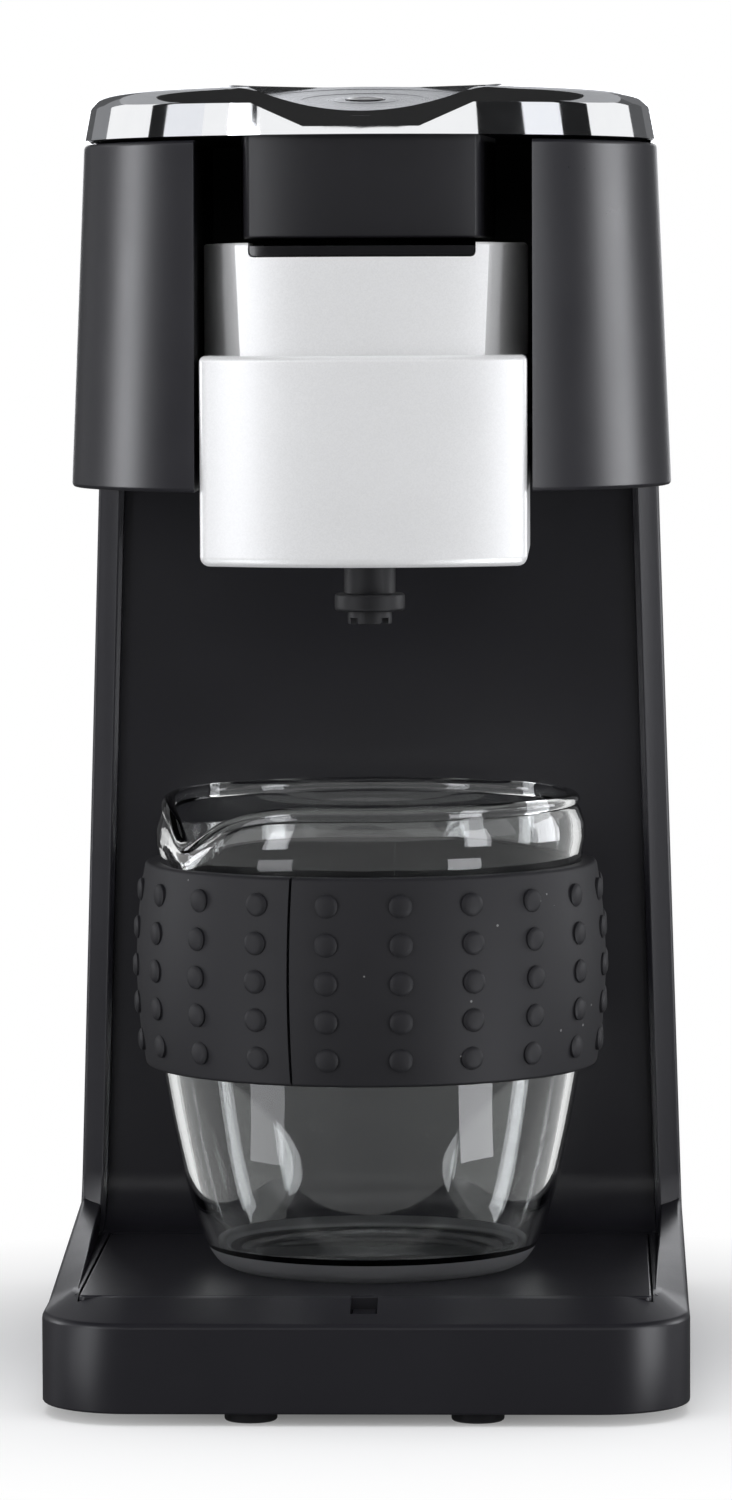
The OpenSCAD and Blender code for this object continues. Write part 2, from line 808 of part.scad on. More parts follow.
module water_pump() {
    color(inner_black) {
        bar_x(pump_y, pump_z, pump_r, pump_left, pump_left + pump_l);
        bar_x(pump_y, pump_z, hose_r, pump_left + pump_l - 1, pump_left + pump_l + 4);
        translate([spout_x, pump_y, pump_z]) cylinder(r = hose_r, h = pump_r + 3);
    }
}

module inlet_hose() {
    turn_z = (pump_z + pump_r + 3 + tank_z - spout_l) / 2;
    color(hose_white) hose([[spout_x, spout_y, tank_z - spout_l], [spout_x, spout_y, turn_z],
        [spout_x, pump_y, turn_z], [spout_x, pump_y, pump_z + pump_r + 3]], hose_r);
}

module pump_hose() {
    color(hose_white) hose([[pump_left + pump_l + 4, pump_y, pump_z], [inlet_x, pump_y, pump_z],
        [inlet_x, heater_y - heater_d / 2 - stub_l, pump_z]], hose_r);
}

module riser_hose() {
    turn_z = heater_top + stub_l + 4;
    color(hose_white) hose([[outlet_x, heater_y, heater_top + stub_l - 4], [outlet_x, heater_y, turn_z],
        [0, riser_y, turn_z], [0, riser_y, dock_z], [0, bay_back + dock_l, dock_z]], hose_r);
}

module dock_port() {
    color(inner_black) difference() {
        union() {
            bar_y(0, dock_z, dock_r, bay_back, bay_back + dock_l);
            bar_y(0, dock_z, dock_r * 2, bay_back + chamber_wall, bay_back + chamber_wall + 2);
        }
        bar_y(0, dock_z, dock_bore_r, bay_back - 1, bay_back + dock_l + 1);
    }
}

module dock_seal() {
    color(rubber_black) difference() {
        bar_y(0, dock_z, dock_r * 2, bay_back - seal_t, bay_back);
        bar_y(0, dock_z, dock_bore_r, bay_back - seal_t - 1, bay_back + 1);
    }
}

module control_board() {
    y = column_face + panel_depth + wall + board_gap;
    color(board_green) translate([board_x, y, plate_top]) {
        cube([board_w, board_t, board_h]);
        block([board_w / 11, -board_gap * 0.85, board_h / 7], [board_w * 0.43, eps, board_h * 0.43]);
        block([board_w * 0.6, -board_gap * 0.6, board_h * 0.57], [board_w * 0.86, eps, board_h * 0.8]);
        bar_y(board_w * 0.77, board_h * 0.28, board_w / 10, -board_gap * 0.75, eps);
    }
}

module lid_switch() {
    body = [6, 20, 10];
    color(inner_black) at_each([lid_switch_at], deck_z) {
        block([-body[0] / 2, -body[1] / 2, -body[2]], [body[0] / 2, body[1] / 2, 0]);
        translate([0, 0, -eps]) cylinder(r = plunger_r, h = deck_t + lid_gap - fit_gap / 2);
    }
}

module cord_gland() {
    color(rubber_black) difference() {
        union() {
            bar_y(gland_x, gland_z, gland_r, base_back - gland_l, base_back);
            bar_y(gland_x, gland_z, gland_r + 1.6, base_back - wall - 2.4, base_back - wall);
        }
        bar_y(gland_x, gland_z, cord_bore_d / 2, base_back - gland_l - 1, base_back + 1);
    }
}

module terminal_block() {
    body = [14, 20, 10];
    pitch = 6;
    x = (heater_l / 2 + base_w / 2 - wall - body[0]) / 2;
    color(hose_white) translate([x, heater_y - body[1] / 2, plate_top]) difference() {
        cube(body);
        for (i = [-1:1]) translate([body[0] / 2, body[1] / 2 + pitch * i, body[2] / 2])
            cylinder(r = screw_r, h = body[2]);
    }
}

// Round-fronted outline of the lid, drawn in by inset
function lid_ring(inset) = concat(
    arc([0, head_axis], lid_r - inset, 180, 360, front_steps),
    [[lid_r - inset, lid_back - inset], [-lid_r + inset, lid_back - inset]]);

// Banded, bevelled and crowned block of the lid, drawn in by inset and carried on below by over
module lid_mass(inset, over = 0) {
    loft([[lid_ring(inset - lid_lean * over / lid_band_h), lid_z - over],
        [lid_ring(inset + lid_lean), lid_band_top],
        [lid_ring(lid_bevel_w + inset), lid_bevel_top - inset], [lid_ring(lid_r / 2), lid_top - inset]]);
}

// Children stand on the sloping floor of the dish
module on_dish() {
    translate([0, dish_y, dish_z]) rotate([dish_tilt, 0, 0]) children();
}

// Arm from the plate to a knuckle, grown by gap
module hinge_arm(x, gap) {
    half = knuckle_w / 2 + gap;
    block([x - half, lid_back - lid_plate_inset - 1, lid_z - gap], [x + half, hinge_y, lid_z + lid_plate_t + gap]);
}

module lid_cover() {
    color(chrome) difference() {
        union() {
            difference() {
                lid_mass(0);
                lid_mass(lid_wall, 1);
            }
            intersection() {
                lid_mass(0);
                on_dish() translate([0, 0, -stem_l]) cylinder(r = dish_r + lid_wall, h = 20);
            }
        }
        on_dish() {
            translate([0, 0, -disc_t]) cylinder(r = dish_r + fit_gap, h = 30);
            cylinder(r1 = dish_r, r2 = dish_r + 16, h = 9.2);
            translate([0, 0, -20]) cylinder(r = button_d / 2 + 2, h = 30);
        }
        for (x = [-knuckle_x, knuckle_x]) hinge_arm(x, fit_gap);
    }
}

module lid_dish() {
    color(silver) intersection() {
        on_dish() translate([0, 0, -disc_t]) difference() {
            cylinder(r = dish_r, h = disc_t);
            translate([0, 0, -1]) cylinder(r = button_d / 2 + slide_gap, h = disc_t + 2);
        }
        lid_mass(0);
    }
}

module lid_inner_plate() {
    color(inner_black) difference() {
        union() {
            translate([0, 0, lid_z]) linear_extrude(lid_plate_t) polygon(lid_ring(lid_plate_inset));
            for (x = [-knuckle_x, knuckle_x]) {
                bar_x(hinge_y, hinge_z, knuckle_r - slide_gap, x - knuckle_w / 2, x + knuckle_w / 2);
                hinge_arm(x, 0);
            }
        }
        on_dish() translate([0, 0, -stem_l - fit_gap]) cylinder(r = dish_r + lid_wall + fit_gap, h = dish_r);
        bar_x(hinge_y, hinge_z, hinge_pin_d / 2 + 1.5 * pin_play, -head_top_w / 2, head_top_w / 2);
    }
}

// Outline with a bowed front about the head's axis, slanting sides and a round back about the brewing axis
function bowed_ring(bow_r, half, back_r) =
    let (reach = asin(half / bow_r))
    concat(arc([0, head_axis], bow_r, 270 - reach, 270 + reach, front_steps),
        arc([0, brew_y], back_r, 0, 180, front_steps));

// Outline of the drum, drawn in by inset
function drum_ring(inset) = bowed_ring(drum_bow_r - inset, drum_w / 2 - inset, drum_r - inset);

module lid_drum() {
    color(gloss_black) difference() {
        translate([0, 0, drum_z]) linear_extrude(drum_h) polygon(drum_ring(0));
        translate([0, 0, drum_z + drum_floor_t]) linear_extrude(drum_h) polygon(drum_ring(drum_wall));
        translate([0, brew_y, drum_z - 1]) cylinder(r = needle_r + fit_gap, h = drum_floor_t + 2);
        bar_y(0, dock_z, dock_r + fit_gap, brew_y, brew_y + drum_r + 1);
    }
}

module lid_elbow() {
    flange_z = drum_z + drum_floor_t + 2;
    color(inner_black) difference() {
        union() {
            translate([0, brew_y, flange_z]) cylinder(r = dock_r, h = dock_z - flange_z);
            translate([0, brew_y, dock_z]) sphere(r = dock_r + elbow_swell);
            bar_y(0, dock_z, dock_r, brew_y, bay_back - seal_t - slide_gap);
        }
        translate([0, brew_y, flange_z - 1]) cylinder(r = dock_bore_r, h = dock_z - flange_z + 1);
        bar_y(0, dock_z, dock_bore_r, brew_y, bay_back);
    }
}

module inlet_needle() {
    color(steel) translate([0, brew_y, drum_z]) {
        translate([0, 0, -needle_reach]) cylinder(r1 = 0.3, r2 = needle_r, h = 3);
        translate([0, 0, 3 - needle_reach]) cylinder(r = needle_r, h = needle_reach + drum_floor_t - 3 + eps);
        translate([0, 0, drum_floor_t]) cylinder(r = dock_r + 1, h = 2);
    }
}

module needle_gasket() {
    color(rubber_black) translate([0, brew_y, drum_z - 2]) difference() {
        cylinder(r = 9, h = 2);
        translate([0, 0, -1]) cylinder(r = needle_r + slide_gap, h = 4);
    }
}

module button_switch() {
    low = lid_z + lid_plate_t;
    top = dish_z - stem_l - button_travel - (button_d / 2 + 1) * sin(dish_tilt) - slide_gap;
    color(inner_black) block([-4, dish_y - 4, low], [4, dish_y + 4, top]);
}

module brew_button() {
    crown_h = 0.6;
    color(gloss_black) on_dish() {
        translate([0, 0, -stem_l]) cylinder(d = button_d, h = stem_l + button_proud - crown_h);
        translate([0, 0, button_proud - crown_h])
            cylinder(d1 = button_d, d2 = button_d - 2 * crown_h, h = crown_h);
        translate([0, 0, -stem_l]) cylinder(d = button_d + 2, h = stem_l - disc_t - slide_gap);
    }
}

// Outline of the drawer, drawn in by inset: bowed front, straight sides and a square back
function drawer_ring(inset) =
    let (r = drawer_r - inset, w = drawer_w / 2 - inset, reach = asin(w / r))
    let (c = drawer_corner_r - inset, back = drawer_back - inset)
    concat(arc([0, head_axis], r, 270 - reach, 270 + reach, front_steps),
        arc([w - c, back - c], c, 0, 90), arc([-w + c, back - c], c, 90, 180));

module drawer_tub() {
    groove_z = rail_z - slide_gap;
    groove_h = rail_h + 2 * slide_gap;
    color(silver) difference() {
        translate([0, 0, drawer_z]) linear_extrude(drawer_h) polygon(drawer_ring(0));
        translate([0, 0, drawer_floor]) linear_extrude(drawer_h - 2 * drawer_wall)
            polygon(drawer_ring(drawer_wall));
        translate([0, brew_y, drawer_floor]) cylinder(r = bowl_r, h = drawer_h);
        translate([0, brew_y, drawer_z - 1]) cylinder(r = neck_r + fit_gap, h = drawer_wall + 2);
        for (side = [-1, 1]) {
            inner = side * (drawer_w / 2 - groove_depth);
            outer = side * (drawer_w / 2 + 1);
            block([min(inner, outer), groove_front, groove_z],
                [max(inner, outer), bay_back, groove_z + groove_h]);
        }
    }
}

// Outline of the collar, drawn in by inset
function collar_ring(inset) = bowed_ring(collar_bow_r - inset, collar_w / 2 - inset, collar_r - inset);

module capsule_collar() {
    color(silver) difference() {
        translate([0, 0, drawer_top]) linear_extrude(collar_h) polygon(collar_ring(0));
        difference() {
            translate([0, 0, drawer_top - 1]) linear_extrude(collar_h - notch_h - drawer_wall + 1)
                polygon(collar_ring(drawer_wall));
            translate([0, brew_y, drawer_top - 2]) cylinder(r = collar_r, h = collar_h + 2);
        }
        translate([0, brew_y, drawer_top - 1]) cylinder(r = bowl_r - ledge_w, h = collar_h + 2);
        translate([0, brew_y, rim_top - rim_t]) cylinder(r = bowl_r, h = collar_h);
        block([-notch_w / 2, -big, collar_top - notch_h],
            [notch_w / 2, brew_y, collar_top + 1]);
        block([-notch_w / 2, brew_y + capsule_floor_r, drawer_top - 1],
            [notch_w / 2, brew_y + collar_r + 1, collar_top + 1]);
    }
}

module capsule_cup() {
    rim_r = bowl_r - slide_gap;
    tab_top = collar_top - 0.7;
    tab_z = collar_top - notch_h + slide_gap;
    tab_half = notch_w / 2 - slide_gap;
    color(gloss_black) translate([0, brew_y, 0]) {
        rotate_extrude() polygon([
            [nozzle_bore_d / 2, capsule_floor - cup_wall],
            [capsule_floor_r + cup_wall, capsule_floor - cup_wall],
            [capsule_mouth_r + cup_wall, rim_top - rim_t], [rim_r, rim_top - rim_t],
            [rim_r, rim_top], [capsule_mouth_r, rim_top],
            [capsule_floor_r, capsule_floor], [nozzle_bore_d / 2, capsule_floor]]);
        difference() {
            translate([0, 0, rim_top - rim_t / 2]) cylinder(r = rim_r, h = tab_top - rim_top + rim_t / 2);
            translate([0, 0, rim_top - rim_t]) cylinder(r = rim_r - 2, h = collar_h);
            block([-big, -rim_r * 0.66, rim_top - rim_t], [big, big, collar_top + 1]);
        }
        difference() {
            intersection() {
                translate([0, -brew_y, tab_z]) linear_extrude(tab_top - tab_z) polygon(collar_ring(slide_gap));
                block([-tab_half, -big, tab_z - 1], [tab_half, -rim_r * 0.66, tab_top + 1]);
            }
            translate([0, 0, tab_z - 1]) cylinder(r = rim_r - 1, h = collar_h);
        }
    }
}

module exit_needle() {
    spike = 9;
    color(steel) translate([0, brew_y, capsule_floor - cup_wall]) {
        cylinder(r = nozzle_bore_d / 2 - pin_play, h = cup_wall + 1.5);
        cylinder(r = needle_r, h = cup_wall + spike - 3);
        translate([0, 0, cup_wall + spike - 3]) cylinder(r1 = needle_r, r2 = 0.3, h = 3);
    }
}

module brew_funnel() {
    z0 = drawer_floor + nozzle_flange_t;
    z1 = capsule_floor - cup_wall - 1.5;
    r = bowl_r - slide_gap;
    color(inner_black) translate([0, brew_y, 0]) rotate_extrude() polygon([
        [nozzle_bore_d / 2, z0], [nozzle_flange_r, z0], [r, z1 - 3], [r, z1],
        [r - cup_wall, z1], [r - cup_wall, z1 - 3 + cup_wall], [nozzle_bore_d / 2, z0 + cup_wall]]);
}

module outlet_nozzle() {
    tip_r = neck_r - 0.8;
    bore_r = nozzle_bore_d / 2;
    slot_w = 2.4;
    color(inner_black) difference() {
        translate([0, brew_y, 0]) {
            translate([0, 0, drawer_floor]) cylinder(r = nozzle_flange_r, h = nozzle_flange_t);
            translate([0, 0, nozzle_ring_top - eps])
                cylinder(r = neck_r, h = drawer_floor - nozzle_ring_top + 2 * eps);
            translate([0, 0, nozzle_tip_top]) cylinder(d = nozzle_d, h = nozzle_ring_h);
            translate([0, 0, nozzle_bottom]) cylinder(r = tip_r, h = nozzle_tip_h + eps);
        }
        translate([0, brew_y, nozzle_bottom - 1]) cylinder(r = bore_r, h = drawer_h);
        for (a = [45, 135]) translate([0, brew_y, nozzle_bottom]) rotate([0, 0, a])
            cube([nozzle_d, slot_w, nozzle_tip_h], center = true);
    }
}

module drip_tray() {
    color(housing_black) {
        block([-tray_half_w, tray_front, tray_floor], [tray_half_w, tray_back, rest_z]);
        block([-tongue_w / 2, tray_front - tongue_l, tongue_floor],
            [tongue_w / 2, tray_front + tongue_l / 3, tray_floor + fit_gap]);
    }
}

// Outer radius of the glass at height z above its foot: round bowl, belly, small shoulder under the rim
function cup_outer(z) =
    z < sleeve_rise
        ? cup_foot_r + (cup_waist_r - cup_foot_r) * sqrt(z / sleeve_rise)
    : z <= sleeve_top
        ? cup_belly_r - (cup_belly_r - cup_waist_r) * pow(2 * (z - sleeve_rise) / sleeve_h - 1, 2)
    : let (u = (z - sleeve_top) / (cup_h - sleeve_top))
        cup_waist_r + (cup_rim_r - cup_waist_r) * u + cup_shoulder * sin(180 * u);

module glass_cup() {
    floor_t = glass_t + 1.4;
    inner = concat([[cup_outer(floor_t) - glass_t, floor_t]],
        [for (z = cup_heights) if (z > floor_t) [cup_outer(z) - glass_t, z]]);
    color(clear_glass) translate([0, brew_y, rest_z]) difference() {
        rotate_extrude($fn = 96) polygon(concat([[0, 0]], [for (z = cup_heights) [cup_outer(z), z]],
            [for (i = [len(inner) - 1:-1:0]) inner[i]], [[0, floor_t]]));
        rotate([0, 0, -90 - lip_turn]) translate([cup_rim_r / 2, 0, cup_h + lip_r - lip_drop])
            rotate([0, 90, 0]) cylinder(r = lip_r, h = cup_rim_r);
    }
}

module cup_sleeve() {
    seat = fit_gap / 2;
    heights = [for (i = [0:6]) sleeve_rise + sleeve_h * i / 6];
    turn = 360 / stud_columns;
    first_row = sleeve_rise + sleeve_h / 2 - stud_pitch * (stud_rows - 1) / 2;
    color(rubber_black) translate([0, brew_y, rest_z]) {
        rotate_extrude($fn = 96) polygon(concat(
            [for (z = heights) [cup_outer(z) + seat + sleeve_t, z]],
            [for (i = [6:-1:0]) [cup_outer(heights[i]) + seat, heights[i]]]));
        for (row = [0:stud_rows - 1], column = [0:stud_columns - 1]) {
            z = first_row + stud_pitch * row;
            skin = cup_outer(z) + seat + sleeve_t;
            rotate([0, 0, -90 + stud_turn + turn * column]) translate([skin - 1, 0, z]) rotate([0, 90, 0])
                cylinder(d = stud_d, h = stud_h + 1);
        }
    }
}

front_housing();
rear_cover();
tank_shelf();
bottom_plate();
rubber_feet();
base_screws();
head_shell();
head_floor();
brew_chamber();
top_deck();
deck_screws();
lid_bumpers();
hinge_pins();
water_tank();
flow_heater();
thermostat();
thermal_fuse();
water_pump();
inlet_hose();
pump_hose();
riser_hose();
dock_port();
dock_seal();
control_board();
lid_switch();
cord_gland();
terminal_block();
lid_cover();
lid_dish();
lid_inner_plate();
lid_drum();
lid_elbow();
inlet_needle();
needle_gasket();
button_switch();
brew_button();
drawer_tub();
capsule_collar();
capsule_cup();
exit_needle();
brew_funnel();
outlet_nozzle();
drip_tray();
glass_cup();
cup_sleeve();
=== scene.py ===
import math

import bmesh
import bpy
from mathutils import Matrix, Vector


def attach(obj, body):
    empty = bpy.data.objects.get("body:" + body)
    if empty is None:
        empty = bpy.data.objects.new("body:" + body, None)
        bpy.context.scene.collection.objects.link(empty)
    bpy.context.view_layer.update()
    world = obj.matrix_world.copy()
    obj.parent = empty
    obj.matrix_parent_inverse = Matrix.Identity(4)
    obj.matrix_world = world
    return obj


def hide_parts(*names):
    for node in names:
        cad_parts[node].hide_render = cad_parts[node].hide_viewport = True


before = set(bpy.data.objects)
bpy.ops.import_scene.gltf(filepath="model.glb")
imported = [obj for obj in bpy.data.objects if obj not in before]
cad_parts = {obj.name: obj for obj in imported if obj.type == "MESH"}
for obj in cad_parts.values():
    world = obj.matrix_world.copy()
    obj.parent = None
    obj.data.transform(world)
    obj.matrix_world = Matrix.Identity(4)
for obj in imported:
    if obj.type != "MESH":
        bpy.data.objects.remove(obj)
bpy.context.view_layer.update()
scene = bpy.context.scene

# Sizes, in millimetres
MM = 0.001
# Points count as one within NEAR and are merged within MERGE, and a cutter reaches past what it cuts by OVER
NEAR, MERGE, OVER = 0.01, 0.002, 1.0
# Edges that count as tall, how deep joined shapes are buried in each other, and a place ahead of everything
TALL, BURIED, AHEAD = 20.0, 8.0, -130.0
BASE_HALF, BASE_FRONT, BASE_BACK, JOINT_Y = 67.5, -102.5, 102.5, 50.0
FOOT_Z, EDGE_Z, REST_Z, COLUMN_TOP, CEILING_Z = 2.5, 21.0, 25.0, 191.4, 19.6
BASE_ROUNDINGS = ((EDGE_Z, 1.0), (FOOT_Z, 0.5), (REST_Z, 1.0))
FRONT_R, REAR_R, WALL = 19.0, 14.0, 2.4
SIDE_BORDER, FRONT_BORDER = 6.5, 13.0
COLUMN_FACE, PANEL_DEPTH, FILLET_R, LEAN, BACK_LEAN = 16.5, 2.5, 12.0, 5.25, 6.0
RIB_W, RIB_BEVEL, RIB_SLOPE, RIB_STEP = 4.9, 1.0, 3.0, 0.56
RIB_CREST, RIB_FOOT, RIB_EDGE = 0.3, 0.15, 1.3
BORDER_FRONT, BORDER_BACK, BORDER_ROWS, BORDER_INSET = -83.5, 22.0, 12, 0.03
BORDER_OUTER_Z, BORDER_OUTER_RISE, BORDER_OUTER_EDGE = 19.6, 0.11, 1.2
BORDER_INNER_Z, BORDER_INNER_RISE, BORDER_INNER_EDGE = 24.9, 0.0508, 0.5
BORDER_INNER_X, BORDER_INNER_DRAW = 60.2, 0.0256
TRAY_HALF, TRAY_FRONT, TRAY_BACK, TRAY_FLOOR, TRAY_R = 59.5, -88.0, 3.0, 22.0, 1.5
TONGUE_HALF, TONGUE_FRONT, TONGUE_BACK, TONGUE_FLOOR, TONGUE_TOP = 2.5, -97.0, -85.0, 20.8, 22.2
SLIDE = 0.3
REAR_EDGE, HEAD_EDGE, BAY_EDGE, COLLAR_EDGE, TRAY_EDGE, TONGUE_EDGE = 1.0, 0.9, 1.0, 0.7, 0.5, 0.4
HEAD_TOP, HEAD_AXIS, BAY_HALF, BAY_BACK = 264.4, -24.1, 35.1, -2.0
HEAD_LOW_R, HEAD_TOP_R, HEAD_LOW_BACK, HEAD_TOP_BACK = 64.5, 61.4, 98.75, 95.65
LID_Z, LID_BAND_TOP, LID_BACK, LID_BACK_R = 265.2, 272.1, 84.4, 4.0
LID_LEAN, LID_EDGE, LID_WALL = 1.3, 0.3, 1.2
# Rows are how far in, height, and share of the way to the dish's lip
LID_SHOULDER = ((2.2, 273.5, 0.3), (3.5, 274.6, 0.55), (5.6, 275.3, 0.86))
DISH = Vector((0.0, -56.0, 273.2))
DISH_R, DISH_TILT, DISH_LEDGE = 27.0, math.radians(7.4), 1.4
SCOOP_HALF, SCOOP_SIDE, SCOOP_DROP, SCOOP_PRESS = 23.5, 11.5, 5.0, 0.7
LIP_Z, LIP_RISE, LIP_CREST, LIP_GAP, LIP_SWELL = 270.0, 5.2, 1.3, 0.2, 2.0
CROWN_SHARE, CROWN_RISE = 0.4, 0.35
# Where the lid's forms change: the scoop's depth from front to back, then bearings about the dish in degrees
SCOOP_REACH, SCOOP_TURN = (60, 76), 54
LIP_NARROWS, LIP_CREST_TURN, SHOULDER_TURN, CROWN_TURN = (60, 170), 110, (42, 58), (50, 80)
HINGE_X, ARM_HALF, ARM_DEPTH, ARM_H = 30.0, 4.2, 5.0, 2.3
BREW_Y = -39.5
DRUM_Z, DRUM_R, DRUM_HALF, DRUM_BOW_R, DRUM_WALL, DRUM_FLOOR = 243.9, 27.0, 24.5, 58.4, 2.2, 3.0
DRUM_SIDE_EDGE, DRUM_LOW_EDGE = 1.2, 1.6
DOCK_Z, DOCK_R, NEEDLE_R = 254.55, 3.75, 1.8
DRAWER_HALF, DRAWER_Z, DRAWER_TOP, DRAWER_R, DRAWER_BACK = 34.0, 176.0, 219.7, 63.75, -6.0
DRAWER_BACK_R, DRAWER_SIDE_EDGE, DRAWER_LOW_EDGE, DRAWER_TOP_EDGE = 8.0, 1.0, 2.4, 1.3
GROOVE_FRONT, GROOVE_Z, GROOVE_TOP, GROOVE_DEPTH = -72.0, 204.1, 207.7, 1.4
COLLAR_R, COLLAR_TOP, BOWL_R, NOTCH_HALF, NOTCH_Z = 34.0, 243.0, 31.6, 23.5, 240.0
COLLAR_HALF, COLLAR_BOW_R, COLLAR_TAPER, COLLAR_SIDE_Y = 25.8, 61.75, 0.5, -58.0
COLLAR_GAP_Y, NOTCH_R = -21.0, 1.0
HOLDER_RIM, LIP_REACH, TAB_BACK, TAB_DROP, TAB_R, TAB_EDGE = 237.0, 48.7, -60.2, 0.7, 0.8, 0.35
TAB_IN_R, NOZZLE_HOLE_R, BOWL_CUT, BOWL_LEDGE = 30.3, 5.7, 60.0, 235.0
CUP_H, SLEEVE_Z, SLEEVE_H, SLEEVE_T, SLEEVE_FIT = 101.3, 43.3, 43.5, 3.1, 0.1
CUP_FOOT_R, CUP_GRIP_R, CUP_WAIST_R, CUP_NECK_SWELL, CUP_NECK_DRAW = 31.0, 47.0, 45.0, 1.2, 0.1
GLASS_T, GLASS_FOOT_EDGE, BEAD_H, BEAD_R, BEAD_NECK, BEAD_NECK_H = 2.5, 0.8, 3.2, 1.6, 0.9, 8.0
SPOUT_TURN, SPOUT_DIP, SPOUT_SWELL, SPOUT_WIDE, SPOUT_NARROW = -58.0, 9.0, 0.03, 0.40, 0.16
SPOUT_LOW, GROUND_H, GROUND_R = 80.0, 4.0, 27.0
STUD_D, STUD_H, STUD_PITCH, STUD_ROWS, STUD_COLUMNS, STUD_TURN = 4.9, 0.9, 8.0, 5, 20, 9.0
SLIT_TURN, SLIT_WIDE = -18.3, 0.7
GLAND_X, GLAND_Z, GLAND_HOLE_R = 24.0, 13.9, 6.1
FOOT_PLACES = ((23.5, -93.5), (-23.5, -93.5), (45.5, 86.5), (-45.5, 86.5))

# Profiles of turned pieces: rows are radius, height and corner rounding, in millimetres
DISH_RINGS = ((4.3, -1.2, 0), (26.9, -1.2, 0), (26.9, 0.0, 0.2), (22.0, 0.0, 0), (21.8, -0.1, 0),
              (13.5, -0.1, 0), (13.3, -0.2, 0), (7.2, -0.2, 0), (7.0, -0.1, 0), (4.3, -0.1, 0.1))
BUTTON_CROWN = ((0, -2.8, 0), (5.0, -2.8, 0.2), (5.0, -1.6, 0.2), (4.0, -1.6, 0), (4.0, 0.1, 0.3),
                (2.6, 0.25, 0), (1.3, 0.2, 0), (0, 0.15, 0))
HOLDER_CUP = ((3.0, 194.4, 0), (20.1, 194.4, 1.5), (24.9, 235.0, 0.3), (31.3, 235.0, 0.3),
              (31.3, HOLDER_RIM, 0.5), (23.3, HOLDER_RIM, 0.6), (18.5, 196.0, 1.2), (3.0, 196.0, 0))
HOLDER_LIP = ((29.3, 236.0, 0), (31.2, 236.0, 0), (31.2, 242.2, 0.6), (29.3, 242.2, 0.6))
NOZZLE = ((3.0, 162.2, 0.2), (4.7, 162.2, 0.3), (4.7, 165.0, 0), (7.5, 165.0, 0.7), (7.5, 168.8, 0.7),
          (5.5, 168.8, 0), (5.5, 178.4, 0), (9.0, 178.4, 0), (9.0, 180.4, 0), (3.0, 180.4, 0))
NOZZLE_SLOT = ((-8, -1.2, 160.8), (8, 1.2, 163.6))
CUP_FOOT = ((0, REST_Z + 1.2, 0), (24, REST_Z + 0.9, 0), (28.5, REST_Z, 0), (31.2, REST_Z, 0))
CUP_FLOOR = ((26, REST_Z + 4.1, 0), (0, REST_Z + 3.9, 0))
CUP_FLOOR_TOP = 4.6
STUD = ((0, -1.0, 0), (STUD_D / 2, -1.0, 0), (STUD_D / 2, 0.35, 0), (STUD_D / 2 - 0.35, STUD_H - 0.25, 0),
        (STUD_D / 2 - 0.9, STUD_H, 0), (0, STUD_H, 0))
FOOT_PAD = ((0, 0.4, 0), (3.0, 0.4, 0), (3.4, 0, 0), (5.5, 0, 0.6), (5.5, 3.5, 0), (0, 3.5, 0))
GLAND_SLEEVE = ((3.5, 0, 0.4), (5.9, 0, 0.8), (5.9, 2.4, 0), (7.5, 2.4, 0), (7.5, 4.8, 0), (5.9, 4.8, 0),
                (5.9, 10, 0.5), (3.5, 10, 0.3))


def rotation(degrees, axis):
    """Turn about one axis."""
    return Matrix.Rotation(math.radians(degrees), 4, axis)


def shift(x, y, z):
    """Move without a turn."""
    return Matrix.Translation((x, y, z))


GLAND_PLACE = shift(GLAND_X, BASE_BACK, GLAND_Z) @ rotation(90, "X")

# Camera, fitted to edges measured in the photograph: place in metres, turns in degrees, lens in millimetres
CAMERA_AT, CAMERA_PAN, CAMERA_DIP, CAMERA_ROLL = (0.0463, -1.4268, 0.2303), 1.951, 3.92, -0.232
FOCAL_LENGTH, SENSOR_WIDTH = 156.2, 36.0
lens = bpy.data.cameras.new("photo_camera")
lens.lens, lens.sensor_width, lens.clip_end = FOCAL_LENGTH, SENSOR_WIDTH, 50.0
camera = bpy.data.objects.new("photo_camera", lens)
camera.matrix_world = (shift(*CAMERA_AT) @ rotation(CAMERA_PAN, "Z")
                       @ rotation(90 - CAMERA_DIP, "X") @ rotation(CAMERA_ROLL, "Z"))
scene.collection.objects.link(camera)
scene.camera = camera


# Mesh tools
def join(bm, other):
    """Adds another shape to bm."""
    mesh = bpy.data.meshes.new("joined")
    other.to_mesh(mesh)
    other.free()
    bm.from_mesh(mesh)
    bpy.data.meshes.remove(mesh)
    return bm


def face_out(bm):
    """Turns the faces of a shape outwards."""
    bmesh.ops.recalc_face_normals(bm, faces=bm.faces)
    return bm


def mesh_object(bm, name, *materials):
    """Mesh object of a shape."""
    mesh = bpy.data.meshes.new(name)
    bm.to_mesh(mesh)
    bm.free()
    for material in materials:
        mesh.materials.append(material)
    obj = bpy.data.objects.new(name, mesh)
    scene.collection.objects.link(obj)
    return obj


def combine(bm, other, operation="DIFFERENCE"):
    """Cuts another shape from bm, or adds it."""
    objects = [mesh_object(face_out(shape), "solid") for shape in (bm, other)]
    cut = objects[0].modifiers.new("cut", "BOOLEAN")
    cut.object, cut.operation, cut.solver = objects[1], operation, "EXACT"
    graph = bpy.context.evaluated_depsgraph_get()
    made = bpy.data.meshes.new_from_object(objects[0].evaluated_get(graph))
    out = bmesh.new()
    out.from_mesh(made)
    bpy.data.meshes.remove(made)
    for obj in objects:
        mesh = obj.data
        bpy.data.objects.remove(obj)
        bpy.data.meshes.remove(mesh)
    return out


def cut(bm, *others):
    """Cuts other shapes from bm, one after the other."""
    for other in others:
        bm = combine(bm, other)
    return bm


def edges_where(bm, test):
    """The edges whose two ends pass a test."""
    return [e for e in bm.edges if test(*(v.co for v in e.verts))]


